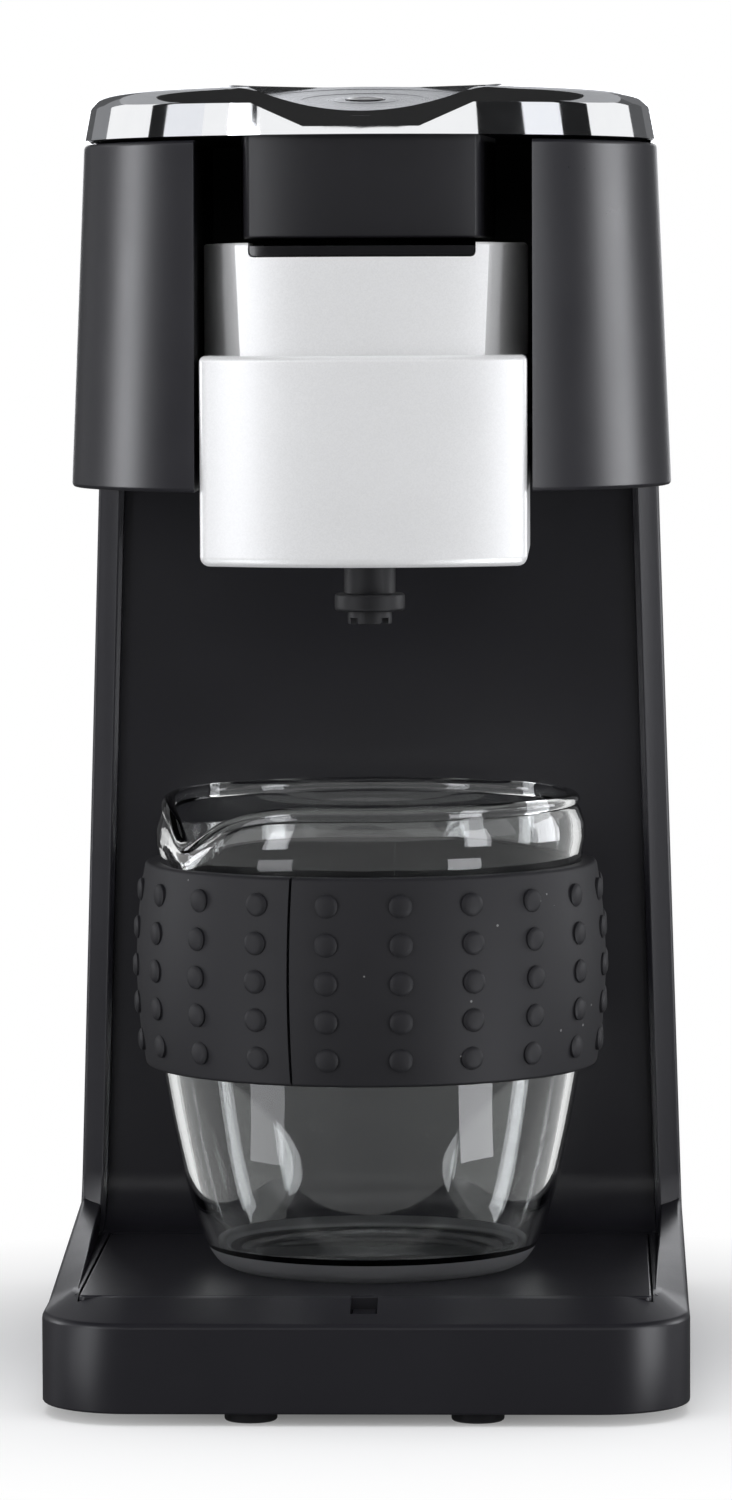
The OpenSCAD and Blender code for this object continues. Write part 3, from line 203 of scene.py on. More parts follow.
def bevel(bm, shape, width, segments, affect="EDGES", **more):
    """Rounds edges or corners."""
    bmesh.ops.bevel(bm, geom=shape, offset=width, offset_type="OFFSET", affect=affect, segments=segments,
                    profile=0.5, material=-1, **more)


def round_edges(bm, width, test, segments=3):
    """Rounds the edges whose two ends pass a test."""
    bevel(bm, edges_where(bm, test), width, segments, clamp_overlap=True)


def round_corners(bm, verts, radius, segments=12):
    """Rounds corners of a flat outline."""
    bevel(bm, verts, radius, segments, "VERTICES")


def spun(bm, shape, y, turn, steps, merge=False):
    """Sweeps a shape about an upright axis, and gives its last place."""
    return bmesh.ops.spin(bm, geom=shape, cent=(0, y, 0), axis=(0, 0, 1), angle=turn, steps=steps,
                          use_merge=merge)["geom_last"]


def level(*heights):
    """Test for edges that lie at one of these heights."""
    return lambda a, b: any(abs(a.z - z) < NEAR and abs(b.z - z) < NEAR for z in heights)


def same_x(a, b):
    """Test for edges that keep one distance from the middle."""
    return abs(a.x - b.x) < NEAR


def upright(a, b):
    """Test for long edges that stand upright."""
    return same_x(a, b) and abs(a.z - b.z) > TALL


def moved(geometry):
    """The vertices among what an operator made."""
    return [g for g in geometry if isinstance(g, bmesh.types.BMVert)]


def raise_face(bm, step):
    """Pulls the only face of a flat outline into a solid."""
    made = bmesh.ops.extrude_face_region(bm, geom=list(bm.faces))["geom"]
    bmesh.ops.translate(bm, verts=moved(made), vec=step)
    return bm


def rounded_plate(half, front, back, front_r, back_r, z, segments=12):
    """Flat outline of a rectangle with round corners."""
    bm = bmesh.new()
    corners = ((-half, front, z), (half, front, z), (half, back, z), (-half, back, z))
    verts = [bm.verts.new(corner) for corner in corners]
    bm.faces.new(verts)
    if front_r > 0:
        round_corners(bm, verts[:2], front_r, segments)
    if back_r > 0:
        round_corners(bm, verts[2:], back_r, segments)
    return bm


def arc_plate(radius, reach, back, corner_r, z, steps=64):
    """Flat outline with a round front about the head's axis, straight sides and a square back."""
    bm = bmesh.new()
    turn = math.radians(270 - reach)
    start = bm.verts.new((radius * math.cos(turn), HEAD_AXIS + radius * math.sin(turn), z))
    end = spun(bm, [start], HEAD_AXIS, 2 * math.radians(reach), steps)[0]
    corners = [bm.verts.new((end.co.x, back, z)), bm.verts.new((start.co.x, back, z))]
    for pair in ((end, corners[0]), corners, (corners[1], start)):
        bm.edges.new(pair)
    bmesh.ops.contextual_create(bm, geom=list(bm.edges))
    if corner_r > 0:
        round_corners(bm, corners, corner_r, 8)
    return bm


def placed(bm, matrix):
    """Moves a whole shape."""
    bmesh.ops.transform(bm, verts=bm.verts, matrix=matrix)
    return bm


def box(low, high):
    """Box between two corners."""
    bm = bmesh.new()
    bmesh.ops.create_cube(bm, size=1)
    low, high = Vector(low), Vector(high)
    return placed(bm, shift(*(low + high) / 2) @ Matrix.Diagonal((*(high - low), 1)))


def rod(radius, length, place, segments):
    """Round solid about the upright axis of a place, with its middle there."""
    bm = bmesh.new()
    bmesh.ops.create_cone(bm, cap_ends=True, segments=segments, radius1=radius, radius2=radius,
                          depth=length, matrix=place)
    return bm


def pin(radius, low, high, segments=128):
    """Upright round solid on the brewing axis."""
    return rod(radius, high - low, shift(0, BREW_Y, (low + high) / 2), segments)


def loft(plates):
    """Solid through flat outlines, from the lowest up."""
    heights = [plate.verts[:][0].co.z for plate in plates]
    bm = plates[0]
    for plate in plates[1:]:
        join(bm, plate)
    inner = [f for f in bm.faces if heights[0] + NEAR < f.calc_center_median().z < heights[-1] - NEAR]
    bmesh.ops.delete(bm, geom=inner, context="FACES_ONLY")
    for low, high in zip(heights, heights[1:]):
        bmesh.ops.bridge_loops(bm, edges=edges_where(bm, level(low, high)))
    return face_out(bm)


def turned(profile, centre=(0, BREW_Y, 0), steps=96, angle=360.0, start=-90.0):
    """Turned shape: profile rows are radius, height and corner rounding."""
    bm = bmesh.new()
    verts = [bm.verts.new((r, 0, z)) for r, z, _ in profile]
    bm.faces.new(verts)
    for vert, (_, _, rounding) in zip(verts, profile):
        if rounding > 0:
            round_corners(bm, [vert], rounding, 4)
    whole = angle >= 360.0
    if whole:
        bmesh.ops.delete(bm, geom=list(bm.faces), context="FACES_ONLY")
    placed(bm, rotation(start, "Z"))
    shape = list(bm.edges) + list(bm.faces)
    spun(bm, shape, 0, math.radians(angle), steps, whole)
    bmesh.ops.remove_doubles(bm, verts=bm.verts, dist=MERGE)
    return placed(face_out(bm), shift(*centre))


def on_dish(bm):
    """Sets a shape that was made about the upright axis on the sloping dish."""
    return placed(bm, shift(*DISH) @ Matrix.Rotation(DISH_TILT, 4, "X"))


def smooth_step(value, low, high):
    """Goes smoothly from 0 to 1 between two values."""
    t = min(1.0, max(0.0, (value - low) / (high - low)))
    return t * t * (3 - 2 * t)


def piece(bm, name, body, finish, slot, *nodes, sharp=38):
    """Makes a mesh object of a shape, attaches it to its body and hides the CAD nodes it stands for."""
    bmesh.ops.remove_doubles(bm, verts=bm.verts, dist=MERGE)
    face_out(bm)
    bmesh.ops.scale(bm, verts=bm.verts, vec=(MM, MM, MM))
    obj = mesh_object(bm, name, finish)
    obj.data.shade_smooth()
    obj.data.set_sharp_from_angle(angle=math.radians(sharp))
    weigh = obj.modifiers.new("even_shading", "WEIGHTED_NORMAL")
    weigh.keep_sharp = True
    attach(obj, body)
    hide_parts(*nodes)
    return obj


# Finishes: sizes of noise and flakes are in millimetres
FLAKE_MM, SPOT_SIZE = 0.28, 0.11
SEEN_RAYS = ("Is Camera Ray", "Is Glossy Ray", "Is Transmission Ray")


class Value:
    """A socket's value that can stand in a sum."""

    def __init__(self, nodes, socket):
        self.nodes, self.socket = nodes, socket

    def maths(self, operation, first, second):
        return self.nodes.node("ShaderNodeMath", {"operation": operation}, {0: first, 1: second})

    def __add__(self, other):
        return self.maths("ADD", self, other)

    def __rsub__(self, other):
        return self.maths("SUBTRACT", other, self)

    def __mul__(self, other):
        return self.maths("MULTIPLY", self, other)

    def above(self, other):
        return self.maths("GREATER_THAN", self, other)

    __radd__, __rmul__ = __add__, __mul__


class Nodes:
    """A tree of shader nodes."""

    def __init__(self, tree):
        self.tree = tree

    def first(self, kind):
        return next(n for n in self.tree.nodes if n.type == kind)

    def node(self, kind, settings=None, sockets=None, out=0):
        node = self.tree.nodes.new(kind)
        for key, value in (settings or {}).items():
            setattr(node, key, value)
        for key, value in (sockets or {}).items():
            if isinstance(value, Value):
                self.tree.links.new(value.socket, node.inputs[key])
            else:
                node.inputs[key].default_value = value
        return Value(self, node.outputs[out])

    def ramp(self, value, low, high, out_low=0.0, out_high=1.0):
        """Goes from one value to another as its input goes from low to high."""
        return self.node("ShaderNodeMapRange", {"clamp": True}, {
            "Value": value, "From Min": low, "From Max": high, "To Min": out_low, "To Max": out_high})

    def seen(self):
        """At least 1 where the camera looks, also by a mirror or through glass, and 0 elsewhere."""
        to_camera, mirrored, through = (self.node("ShaderNodeLightPath", out=ray) for ray in SEEN_RAYS)
        return to_camera + mirrored + through


class Finish(Nodes):
    """A material with one principled shader."""

    def __init__(self, name, **constants):
        self.material = bpy.data.materials.new(name)
        self.material.use_nodes = True
        super().__init__(self.material.node_tree)
        self.shader = self.first("BSDF_PRINCIPLED")
        for socket, value in constants.items():
            self.shader.inputs[socket.replace("_", " ")].default_value = value
        self.place = self.node("ShaderNodeTexCoord", out="Object")

    def noise(self, size_mm, detail=2.0, rough=0.5):
        """Noise from 0 to 1 with patches of about this size."""
        return self.node("ShaderNodeTexNoise", None, {
            "Vector": self.place, "Scale": 1 / (size_mm * MM), "Detail": detail, "Roughness": rough})

    def height(self):
        """Height above the table in metres."""
        return self.node("ShaderNodeSeparateXYZ", None, {0: self.place}, "Z")

    def cells(self, size_mm, out):
        """How far the middle of the nearest cell is, or where, with cells of about this size."""
        cell = {"Vector": self.place, "Scale": 1 / (size_mm * MM)}
        return self.node("ShaderNodeTexVoronoi", None, cell, out)

    def flakes(self, size_mm):
        """Another value from 0 to 1 in each cell of this size."""
        return self.node("ShaderNodeTexWhiteNoise", {"noise_dimensions": "3D"},
                         {"Vector": self.cells(size_mm, "Position")}, "Value")

    def spots(self, size_mm, share):
        """1 on small spots in a share of the cells of this size, and 0 elsewhere."""
        return (1 - self.cells(size_mm, "Distance").above(SPOT_SIZE)) * self.flakes(size_mm).above(1 - share)

    def mix(self, factor, first, second):
        return self.node("ShaderNodeMix", {"data_type": "RGBA"}, {0: factor, 6: first, 7: second}, 2)

    def feed(self, **sockets):
        for socket, value in sockets.items():
            self.tree.links.new(value.socket, self.shader.inputs[socket.replace("_", " ")])
        return self

    def bump(self, height, strength, depth_mm):
        return self.feed(Normal=self.node("ShaderNodeBump", None, {
            "Height": height, "Strength": strength, "Distance": depth_mm * MM}))


def grey(tone, blue=0.0):
    return (tone * (1 + 0.1 * blue), tone, tone * (1 + blue), 1.0)


def moulded_plastic(name, tone, blue, rough, grain_mm, grain, dull=0.0):
    """Moulded plastic with a fine grain, lighter on its edges as wear and as a painted highlight, and duller
    below the head.
    """
    f = Finish(name, IOR=1.47)
    cloud, fine = f.noise(26.0, 3.0), f.noise(grain_mm, 1.0)
    # Edges are lightened in patches: partly wear, partly a painted highlight along the edges
    wear_and_edge_highlight = f.ramp(f.node("ShaderNodeNewGeometry", out="Pointiness"), 0.52, 0.60, 0.0, 0.5) * f.noise(3.0)
    base = f.mix(cloud, grey(tone * 0.86, blue), grey(tone * 1.14, blue))
    least = rough - 0.05
    sheen = f.ramp(f.height(), (COLUMN_TOP + 1) * MM, (COLUMN_TOP - 1) * MM, least, least + dull)
    f.feed(Base_Color=f.mix(wear_and_edge_highlight, base, grey(tone * 2.2, blue)), Roughness=sheen + 0.07 * cloud + 0.05 * fine)
    return f.bump(fine, grain, 0.05).material


def gloss_plastic(name, tone):
    """Polished black plastic with faint wiping marks."""
    f = Finish(name, IOR=1.5, Coat_Weight=0.3, Coat_Roughness=0.04)
    marks = f.noise(9.0, 4.0, 0.6)
    f.feed(Base_Color=f.mix(marks, grey(tone * 0.8, 0.1), grey(tone * 1.2, 0.1)),
           Roughness=f.ramp(marks, 0.35, 0.75, 0.10, 0.19))
    return f.bump(f.noise(14.0, 1.0), 0.04, 0.2).material


def silver_paint(name):
    """Silver lacquer with fine metal flakes under a satin clear coat."""
    f = Finish(name, Coat_Weight=0.25, Coat_Roughness=0.25)
    flakes, cloud = f.flakes(FLAKE_MM), f.noise(18.0)
    shade = flakes * 0.5 + cloud * 0.5
    f.feed(Base_Color=f.mix(shade, (0.77, 0.772, 0.772, 1), (0.87, 0.872, 0.872, 1)),
           Metallic=f.ramp(flakes, 0.0, 1.0, 0.24, 0.36), Roughness=0.33 + 0.10 * flakes + 0.04 * cloud)
    return f.bump(flakes, 0.06, 0.03).material


def chrome_plate(name):
    """Bright chrome with faint waves and wiping marks."""
    f = Finish(name, Metallic=1.0)
    marks = f.noise(7.0, 5.0, 0.65)
    f.feed(Base_Color=f.mix(marks, (0.84, 0.85, 0.87, 1), (0.90, 0.91, 0.92, 1)),
           Roughness=f.ramp(marks, 0.3, 0.8, 0.02, 0.075))
    return f.bump(f.noise(11.0, 1.0), 0.03, 0.12).material


def turned_metal(name):
    """Satin metal with the fine rings of a lathe about the middle of the dish."""
    f = Finish(name, Metallic=1.0)
    flat = f.node("ShaderNodeMapping", {"vector_type": "TEXTURE"},
                  {"Vector": f.place, "Location": DISH * MM, "Rotation": (DISH_TILT, 0, 0)})
    flat = f.node("ShaderNodeVectorMath", {"operation": "MULTIPLY"}, {0: flat, 1: (1, 1, 0)})
    radius = f.node("ShaderNodeVectorMath", {"operation": "LENGTH"}, {0: flat}, "Value")

    def rings(size_mm, detail):
        return f.node("ShaderNodeTexNoise", {"noise_dimensions": "1D"},
                      {"W": radius, "Scale": 1 / (size_mm * MM), "Detail": detail})

    lathe = rings(0.5, 3.0)
    shade = lathe * 0.5 + rings(2.4, 1.0) * 0.5
    f.feed(Base_Color=f.mix(shade, (0.66, 0.675, 0.70, 1), (0.84, 0.855, 0.88, 1)),
           Roughness=0.20 + 0.12 * lathe)
    return f.bump(lathe, 0.15, 0.03).material


def clear_glass(name):
    """Clear blown glass with slight waves."""
    f = Finish(name, Base_Color=(0.97, 0.985, 0.98, 1), Transmission_Weight=1.0, IOR=1.48)
    f.feed(Roughness=f.ramp(f.noise(6.0, 4.0), 0.55, 0.85, 0.0, 0.06))
    return f.bump(f.noise(16.0, 1.0), 0.05, 0.5).material


def ground_glass(name):
    """Glass ground matt where the cup stands, with a painted highlight along its lowest edge."""
    f = Finish(name, Transmission_Weight=0.72, IOR=1.48)
    grind = f.noise(0.5, 3.0)
    # Paler along the lowest edge of the foot and darker above it: a painted highlight
    edge = f.ramp(f.height(), (REST_Z + 0.4) * MM, (REST_Z + 1.2) * MM, 1.0, 0.35)
    f.feed(Base_Color=f.mix(edge + 0.1 * grind, (0.10, 0.10, 0.11, 1), (0.82, 0.83, 0.85, 1)),
           Roughness=0.25 + 0.2 * grind)
    return f.bump(grind, 0.1, 0.05).material


def soft_rubber(name, tone):
    """Matt rubber with a fine skin and a little dust."""
    f = Finish(name, IOR=1.42)
    skin, cloud = f.noise(0.35), f.noise(15.0, 3.0)
    base = f.mix(cloud, grey(tone * 0.85, 0.25), grey(tone * 1.2, 0.25))
    f.feed(Base_Color=f.mix(f.spots(2.6, 0.05) * 0.55, base, grey(0.30)),
           Roughness=0.50 + 0.10 * cloud + 0.06 * skin)
    return f.bump(skin, 0.16, 0.06).material


def bare_metal(name, tone, rough, grain_mm):
    """Bare metal with a drawn or cast grain."""
    f = Finish(name, Metallic=1.0)
    grain, cloud = f.noise(grain_mm, 3.0), f.noise(9.0, 2.0)
    f.feed(Base_Color=f.mix(cloud, grey(tone * 0.85), grey(tone)), Roughness=rough + 0.15 * grain)
    return f.bump(grain, 0.2, 0.06).material


def pale_plastic(name, colour, rough, clear=0.0):
    """Plain moulded plastic or hose, with a faint cloudiness."""
    f = Finish(name, IOR=1.48, Transmission_Weight=clear)
    cloud = f.noise(8.0, 3.0)
    f.feed(Base_Color=f.mix(cloud, tuple(c * 0.85 for c in colour) + (1,), colour + (1,)),
           Roughness=rough + 0.12 * cloud)
    return f.bump(f.noise(0.8, 1.0), 0.08, 0.05).material


def circuit_board(name):
    """Green board with paler tracks."""
    f = Finish(name)
    cell = {"Vector": f.place, "Scale": 260.0, "Mortar Size": 0.03}
    tracks = f.node("ShaderNodeTexBrick", None, cell, "Fac")
    f.feed(Base_Color=f.mix(tracks, (0.02, 0.13, 0.05, 1), (0.06, 0.26, 0.11, 1)),
           Roughness=0.35 + 0.2 * f.noise(4.0))
    return f.material


HOUSING = moulded_plastic("housing_plastic", tone=0.0115, blue=0.30, rough=0.29, grain_mm=0.55, grain=0.10,
                          dull=0.07)
INNER = moulded_plastic("inner_plastic", tone=0.009, blue=0.20, rough=0.52, grain_mm=0.7, grain=0.14)
GLOSS = gloss_plastic("gloss_plastic", tone=0.009)
SATIN = moulded_plastic("satin_plastic", tone=0.010, blue=0.25, rough=0.36, grain_mm=1.6, grain=0.06)
SILVER = silver_paint("silver_paint")
CHROME = chrome_plate("lid_chrome")
TURNED = turned_metal("turned_metal")
GLASS = clear_glass("cup_glass")
GROUND = ground_glass("ground_glass")
RUBBER = soft_rubber("sleeve_rubber", tone=0.011)
STEEL = bare_metal("steel", tone=0.62, rough=0.22, grain_mm=0.4)
ALUMINIUM = bare_metal("cast_aluminium", tone=0.70, rough=0.40, grain_mm=1.2)
HOSE = pale_plastic("silicone_hose", (0.80, 0.79, 0.75), rough=0.45)
TANK = pale_plastic("tank_plastic", (0.62, 0.66, 0.70), rough=0.18, clear=0.6)
TERMINAL = pale_plastic("terminal_plastic", (0.78, 0.77, 0.72), rough=0.4)
BOARD = circuit_board("circuit_board")


# Housing
def base_slab():
    """Base with its upright edge and sloping border."""
    inner = BASE_HALF - SIDE_BORDER
    slab = loft([rounded_plate(BASE_HALF, BASE_FRONT, JOINT_Y, FRONT_R, 0, FOOT_Z),
                 rounded_plate(BASE_HALF, BASE_FRONT, JOINT_Y, FRONT_R, 0, EDGE_Z),
                 rounded_plate(inner, BASE_FRONT + FRONT_BORDER, JOINT_Y, FRONT_R - SIDE_BORDER, 0, REST_Z)])
    for z, width in BASE_ROUNDINGS:
        round_edges(slab, width, lambda a, b: level(z)(a, b) and (a.y + b.y) / 2 < JOINT_Y - NEAR, 4)
    return slab


def leaned(bm):
    """Draws a shape in towards the top, as the column is."""
    for vert in bm.verts:
        share = max(0.0, vert.co.z - EDGE_Z) / (COLUMN_TOP - EDGE_Z)
        vert.co.x -= math.copysign(LEAN * share, vert.co.x)
    return bm


def side_borders():
    """Borders beside the tray that rise towards the column."""
    low, outer = EDGE_Z - BURIED, BASE_HALF - BORDER_INSET
    strip = bmesh.new()
    for side in (-1, 1):
        rows = []
        for number in range(BORDER_ROWS + 1):
            along = (BORDER_BACK - BORDER_FRONT) * number / BORDER_ROWS
            inner = BORDER_INNER_X + BORDER_INNER_DRAW * along
            ring = ((outer, low), (outer, BORDER_OUTER_Z + BORDER_OUTER_RISE * along),
                    (inner, BORDER_INNER_Z + BORDER_INNER_RISE * along), (inner, low))
            rows.append([strip.verts.new((side * x, BORDER_FRONT + along, z)) for x, z in ring])
        for row, following in zip(rows, rows[1:]):
            for k in range(len(row)):
                strip.faces.new((row[k], row[k - 1], following[k - 1], following[k]))
        strip.faces.new(rows[0])
        strip.faces.new(rows[-1])
    face_out(strip)

    def lengthwise(a, b):
        return abs(a.y - b.y) > 1 and min(a.z, b.z) > low + 1

    round_edges(strip, BORDER_OUTER_EDGE, lambda a, b: lengthwise(a, b) and abs(a.x) > outer - NEAR)
    round_edges(strip, BORDER_INNER_EDGE, lambda a, b: lengthwise(a, b) and abs(a.x) < BASE_HALF - 3)
    return leaned(strip)


def column():
    """Column with a run-out at its foot, and a rib with chamfers at each side of the sunk panel."""
    post = bmesh.new()
    low = REST_Z - 0.05
    start = COLUMN_FACE - FILLET_R - 0.1
    side = [(start, low - BURIED), (start, low), (COLUMN_FACE, low), (COLUMN_FACE, COLUMN_TOP),
            (JOINT_Y, COLUMN_TOP), (JOINT_Y, low - BURIED)]
    verts = [post.verts.new((-BASE_HALF, y, z)) for y, z in side]
    post.faces.new(verts)
    round_corners(post, [verts[2]], FILLET_R)
    raise_face(post, (2 * BASE_HALF, 0, 0))
    crest, shoulder = BASE_HALF - RIB_W, BASE_HALF - RIB_W - RIB_BEVEL
    panel = shoulder - RIB_FOOT
    for x in (crest, shoulder, panel, -panel, -shoulder, -crest):
        bmesh.ops.bisect_plane(post, geom=post.verts[:] + post.edges[:] + post.faces[:], dist=0.001,
                               plane_co=(x, 0, 0), plane_no=(1, 0, 0))

    def on_front(p, slope=0.0):
        return p.y < COLUMN_FACE + slope + NEAR and p.z > low - slope - NEAR

    for vert in post.verts:
        if on_front(vert.co) and abs(vert.co.x) < shoulder + NEAR:
            vert.co.y += PANEL_DEPTH if abs(vert.co.x) < panel + NEAR else RIB_STEP
    round_edges(post, RIB_CREST, lambda a, b: on_front(a) and on_front(b) and same_x(a, b)
                and abs(abs(a.x) - crest) < NEAR, 2)
    centre = Vector((0, COLUMN_FACE - FILLET_R, low + FILLET_R))
    outer = [v for v in post.verts if on_front(v.co) and abs(v.co.x) > BASE_HALF - NEAR]
    for vert in outer:
        spoke = Vector((0, vert.co.y - centre.y, min(0.0, vert.co.z - centre.z)))
        vert.co += RIB_SLOPE * spoke.normalized()
    round_edges(post, RIB_EDGE, lambda a, b: on_front(a, RIB_SLOPE) and on_front(b, RIB_SLOPE)
                and same_x(a, b) and abs(a.x) > BASE_HALF - NEAR)
    return leaned(post)


def front_housing():
    """Base and column as one hollow shell, with the tray's pocket and the tongue's notch."""
    shell = base_slab()
    for other in (side_borders(), column()):
        for shape in (shell, other):
            bmesh.ops.triangulate(shape, faces=shape.faces)
        shell = combine(shell, other, "UNION")
    inner, face, joint = BASE_HALF - WALL, COLUMN_FACE + PANEL_DEPTH + WALL, JOINT_Y + OVER
    base_hollow = loft([rounded_plate(inner, BASE_FRONT + WALL, joint, FRONT_R - WALL, 0, z)
                        for z in (FOOT_Z - OVER, CEILING_Z)])
    column_hollow = loft([rounded_plate(inner, face, joint, 0, 0, CEILING_Z - OVER),
                          rounded_plate(inner - LEAN, face, joint, 0, 0, COLUMN_TOP + OVER)])
    pocket = box((-TRAY_HALF - SLIDE, TRAY_FRONT - SLIDE, TRAY_FLOOR),
                 (TRAY_HALF + SLIDE, TRAY_BACK + SLIDE, REST_Z + OVER))
    notch = box((-TONGUE_HALF - SLIDE, TONGUE_FRONT - SLIDE, TONGUE_FLOOR),
                (TONGUE_HALF + SLIDE, TONGUE_BACK + SLIDE, REST_Z + OVER))
    return cut(shell, base_hollow, column_hollow, pocket, notch)


def rear_cover():
    """Hollow rear cover with the cord gland's hole."""
    def mass(inset, low, over):
        half, front, r = BASE_HALF - inset, JOINT_Y - over, REAR_R - inset
        back = BASE_BACK - inset
        return loft([rounded_plate(half, front, back, 0, r, low),
                     rounded_plate(half, front, back, 0, r, EDGE_Z),
                     rounded_plate(half - LEAN, front, back - BACK_LEAN, 0, r, COLUMN_TOP + over)])

    shell = mass(0, FOOT_Z, 0)
    round_edges(shell, REAR_EDGE, lambda a, b: level(FOOT_Z)(a, b) and (a.y + b.y) / 2 > JOINT_Y + NEAR)
    return cut(shell, mass(WALL, FOOT_Z - OVER, OVER), rod(GLAND_HOLE_R, 5 * WALL, GLAND_PLACE, 48))


def head_shell():
    """Hollow head with a round front, open in the middle where the drawer is."""
    def mass(inset, over):
        r = REAR_R - inset
        return loft([arc_plate(HEAD_LOW_R - inset, 90, HEAD_LOW_BACK - inset, r, COLUMN_TOP - over, 72),
                     arc_plate(HEAD_TOP_R - inset, 90, HEAD_TOP_BACK - inset, r, HEAD_TOP + over, 72)])

    shell = mass(0, 0)
    round_edges(shell, HEAD_EDGE, level(COLUMN_TOP, HEAD_TOP))
    bay = box((-BAY_HALF, AHEAD, COLUMN_TOP - 10 * OVER), (BAY_HALF, BAY_BACK, HEAD_TOP + 10 * OVER))
    shell = cut(shell, mass(WALL, 0.1), bay)
    round_edges(shell, BAY_EDGE, lambda a, b: abs(abs(a.x) - BAY_HALF) < NEAR and same_x(a, b)
                and a.y < HEAD_AXIS and abs(a.z - b.z) > 30)
    return shell


# Lid
def lid_cover():
    """Chrome cover: an outline drawn up ring by ring to the rim of the dish, then given its thickness."""
    bm = arc_plate(HEAD_TOP_R, 90, LID_BACK, LID_BACK_R, LID_Z, 96)
    bmesh.ops.delete(bm, geom=list(bm.faces), context="FACES_ONLY")

    def drawn_in(p, inset):
        shrink = (HEAD_TOP_R - inset) / HEAD_TOP_R
        reach = (LID_BACK - inset - HEAD_AXIS) / (LID_BACK - HEAD_AXIS)
        return p.x * shrink, HEAD_AXIS + (p.y - HEAD_AXIS) * (shrink if p.y < HEAD_AXIS else reach)

    def bearing(p):
        turn = math.atan2(p.x, DISH.y - p.y)
        return math.degrees(abs(turn)), turn

    def band_top(p):
        front = smooth_step(-p.y, *SCOOP_REACH)
        low = min(1.0, max(0.0, (SCOOP_HALF - abs(p.x)) / SCOOP_SIDE))
        x, y = drawn_in(p, LID_LEAN * (1 - SCOOP_PRESS * low * front))
        return Vector((x, y, LID_BAND_TOP - SCOOP_DROP * front * low))

    def lip(p):
        away, turn = bearing(p)
        swell = smooth_step(away, 0, SCOOP_TURN) - smooth_step(away, *LIP_NARROWS)
        radius = DISH_R + LIP_GAP + LIP_SWELL * swell
        x, y = radius * math.sin(turn), DISH.y - radius * math.cos(turn)
        rise = min(1.0, (x / SCOOP_HALF) ** 2) if away < SCOOP_TURN else 1.0
        crest = smooth_step(away, SCOOP_TURN, LIP_CREST_TURN)
        return Vector((x, y, LIP_Z + LIP_RISE * rise + LIP_CREST * crest))

    def shoulder(p, inset, z, share):
        away, _ = bearing(p)
        full = Vector((*drawn_in(p, inset), z))
        return band_top(p).lerp(lip(p), share).lerp(full, smooth_step(away, *SHOULDER_TURN))

    def crown(p):
        away, _ = bearing(p)
        inner = shoulder(p, *LID_SHOULDER[-1]).lerp(lip(p), CROWN_SHARE)
        inner.z += CROWN_RISE * (lip(p).z - inner.z) * smooth_step(away, *CROWN_TURN)
        return inner

    def rim(p, down=0.0):
        _, turn = bearing(p)
        flat = Vector((DISH_R * math.sin(turn), -DISH_R * math.cos(turn), -down))
        return DISH + Matrix.Rotation(DISH_TILT, 3, "X") @ flat

    outline = {v: v.co.copy() for v in bm.verts}
    edges = list(bm.edges)
    steps = [lambda p, row=row: shoulder(p, *row) for row in LID_SHOULDER]
    band_edge, scoop_edges = None, []
    for shape in [band_top, *steps, crown, lip, rim, lambda p: rim(p, DISH_LEDGE)]:
        made = bmesh.ops.extrude_edge_only(bm, edges=edges)["geom"]
        places = {}
        for vert in moved(made):
            below = next(e.other_vert(vert) for e in vert.link_edges if e.other_vert(vert) in outline)
            places[vert] = outline[below]
        for vert, place in places.items():
            vert.co = shape(place)
        outline = places
        edges = [e for e in made if isinstance(e, bmesh.types.BMEdge)]
        band_edge = band_edge or edges
        if shape is rim:
            scoop_edges = edges
    for edge in scoop_edges:
        for face in edge.link_faces:
            face.material_index = 1
    bevel(bm, band_edge, LID_EDGE, 2)
    face_out(bm)
    top = max(bm.faces, key=lambda f: f.calc_center_median().z)
    if top.normal.z < 0:
        bmesh.ops.reverse_faces(bm, faces=bm.faces)
    bmesh.ops.solidify(bm, geom=list(bm.faces), thickness=LID_WALL)
    for x in (-HINGE_X, HINGE_X):
        bm = combine(bm, box((x - ARM_HALF, LID_BACK - ARM_DEPTH, LID_Z - OVER),
                             (x + ARM_HALF, LID_BACK + OVER, LID_Z + ARM_H)))
    return bm


def lid_dish():
    """Dish with the fine steps of a lathe."""
    return on_dish(turned(DISH_RINGS, (0, 0, 0)))


def brew_button():
    """Button with a slightly domed crown."""
    return on_dish(turned(BUTTON_CROWN, (0, 0, 0), 48))


def lid_drum():
    """Hollow drum with a bowed front, and holes for the needle and the dock."""
    def plate(inset, z):
        return bowed_plate(DRUM_BOW_R - inset, DRUM_HALF - inset, DRUM_R - inset, z)

    height = (0, 0, LID_Z - DRUM_Z)
    shell = raise_face(plate(0, DRUM_Z), height)
    round_edges(shell, DRUM_SIDE_EDGE,
                lambda a, b: upright(a, b) and a.y < BREW_Y - 20 and abs(a.x) > DRUM_HALF - NEAR)
    round_edges(shell, DRUM_LOW_EDGE, level(DRUM_Z), 4)
    hollow = raise_face(plate(DRUM_WALL, DRUM_Z + DRUM_FLOOR), height)
    needle = pin(NEEDLE_R, DRUM_Z - OVER, DRUM_Z + DRUM_FLOOR + OVER)
    back = BREW_Y + (DRUM_R + OVER) / 2
    dock = rod(DOCK_R, DRUM_R + OVER, shift(0, back, DOCK_Z) @ rotation(-90, "X"), 128)
    return cut(shell, hollow, needle, dock)


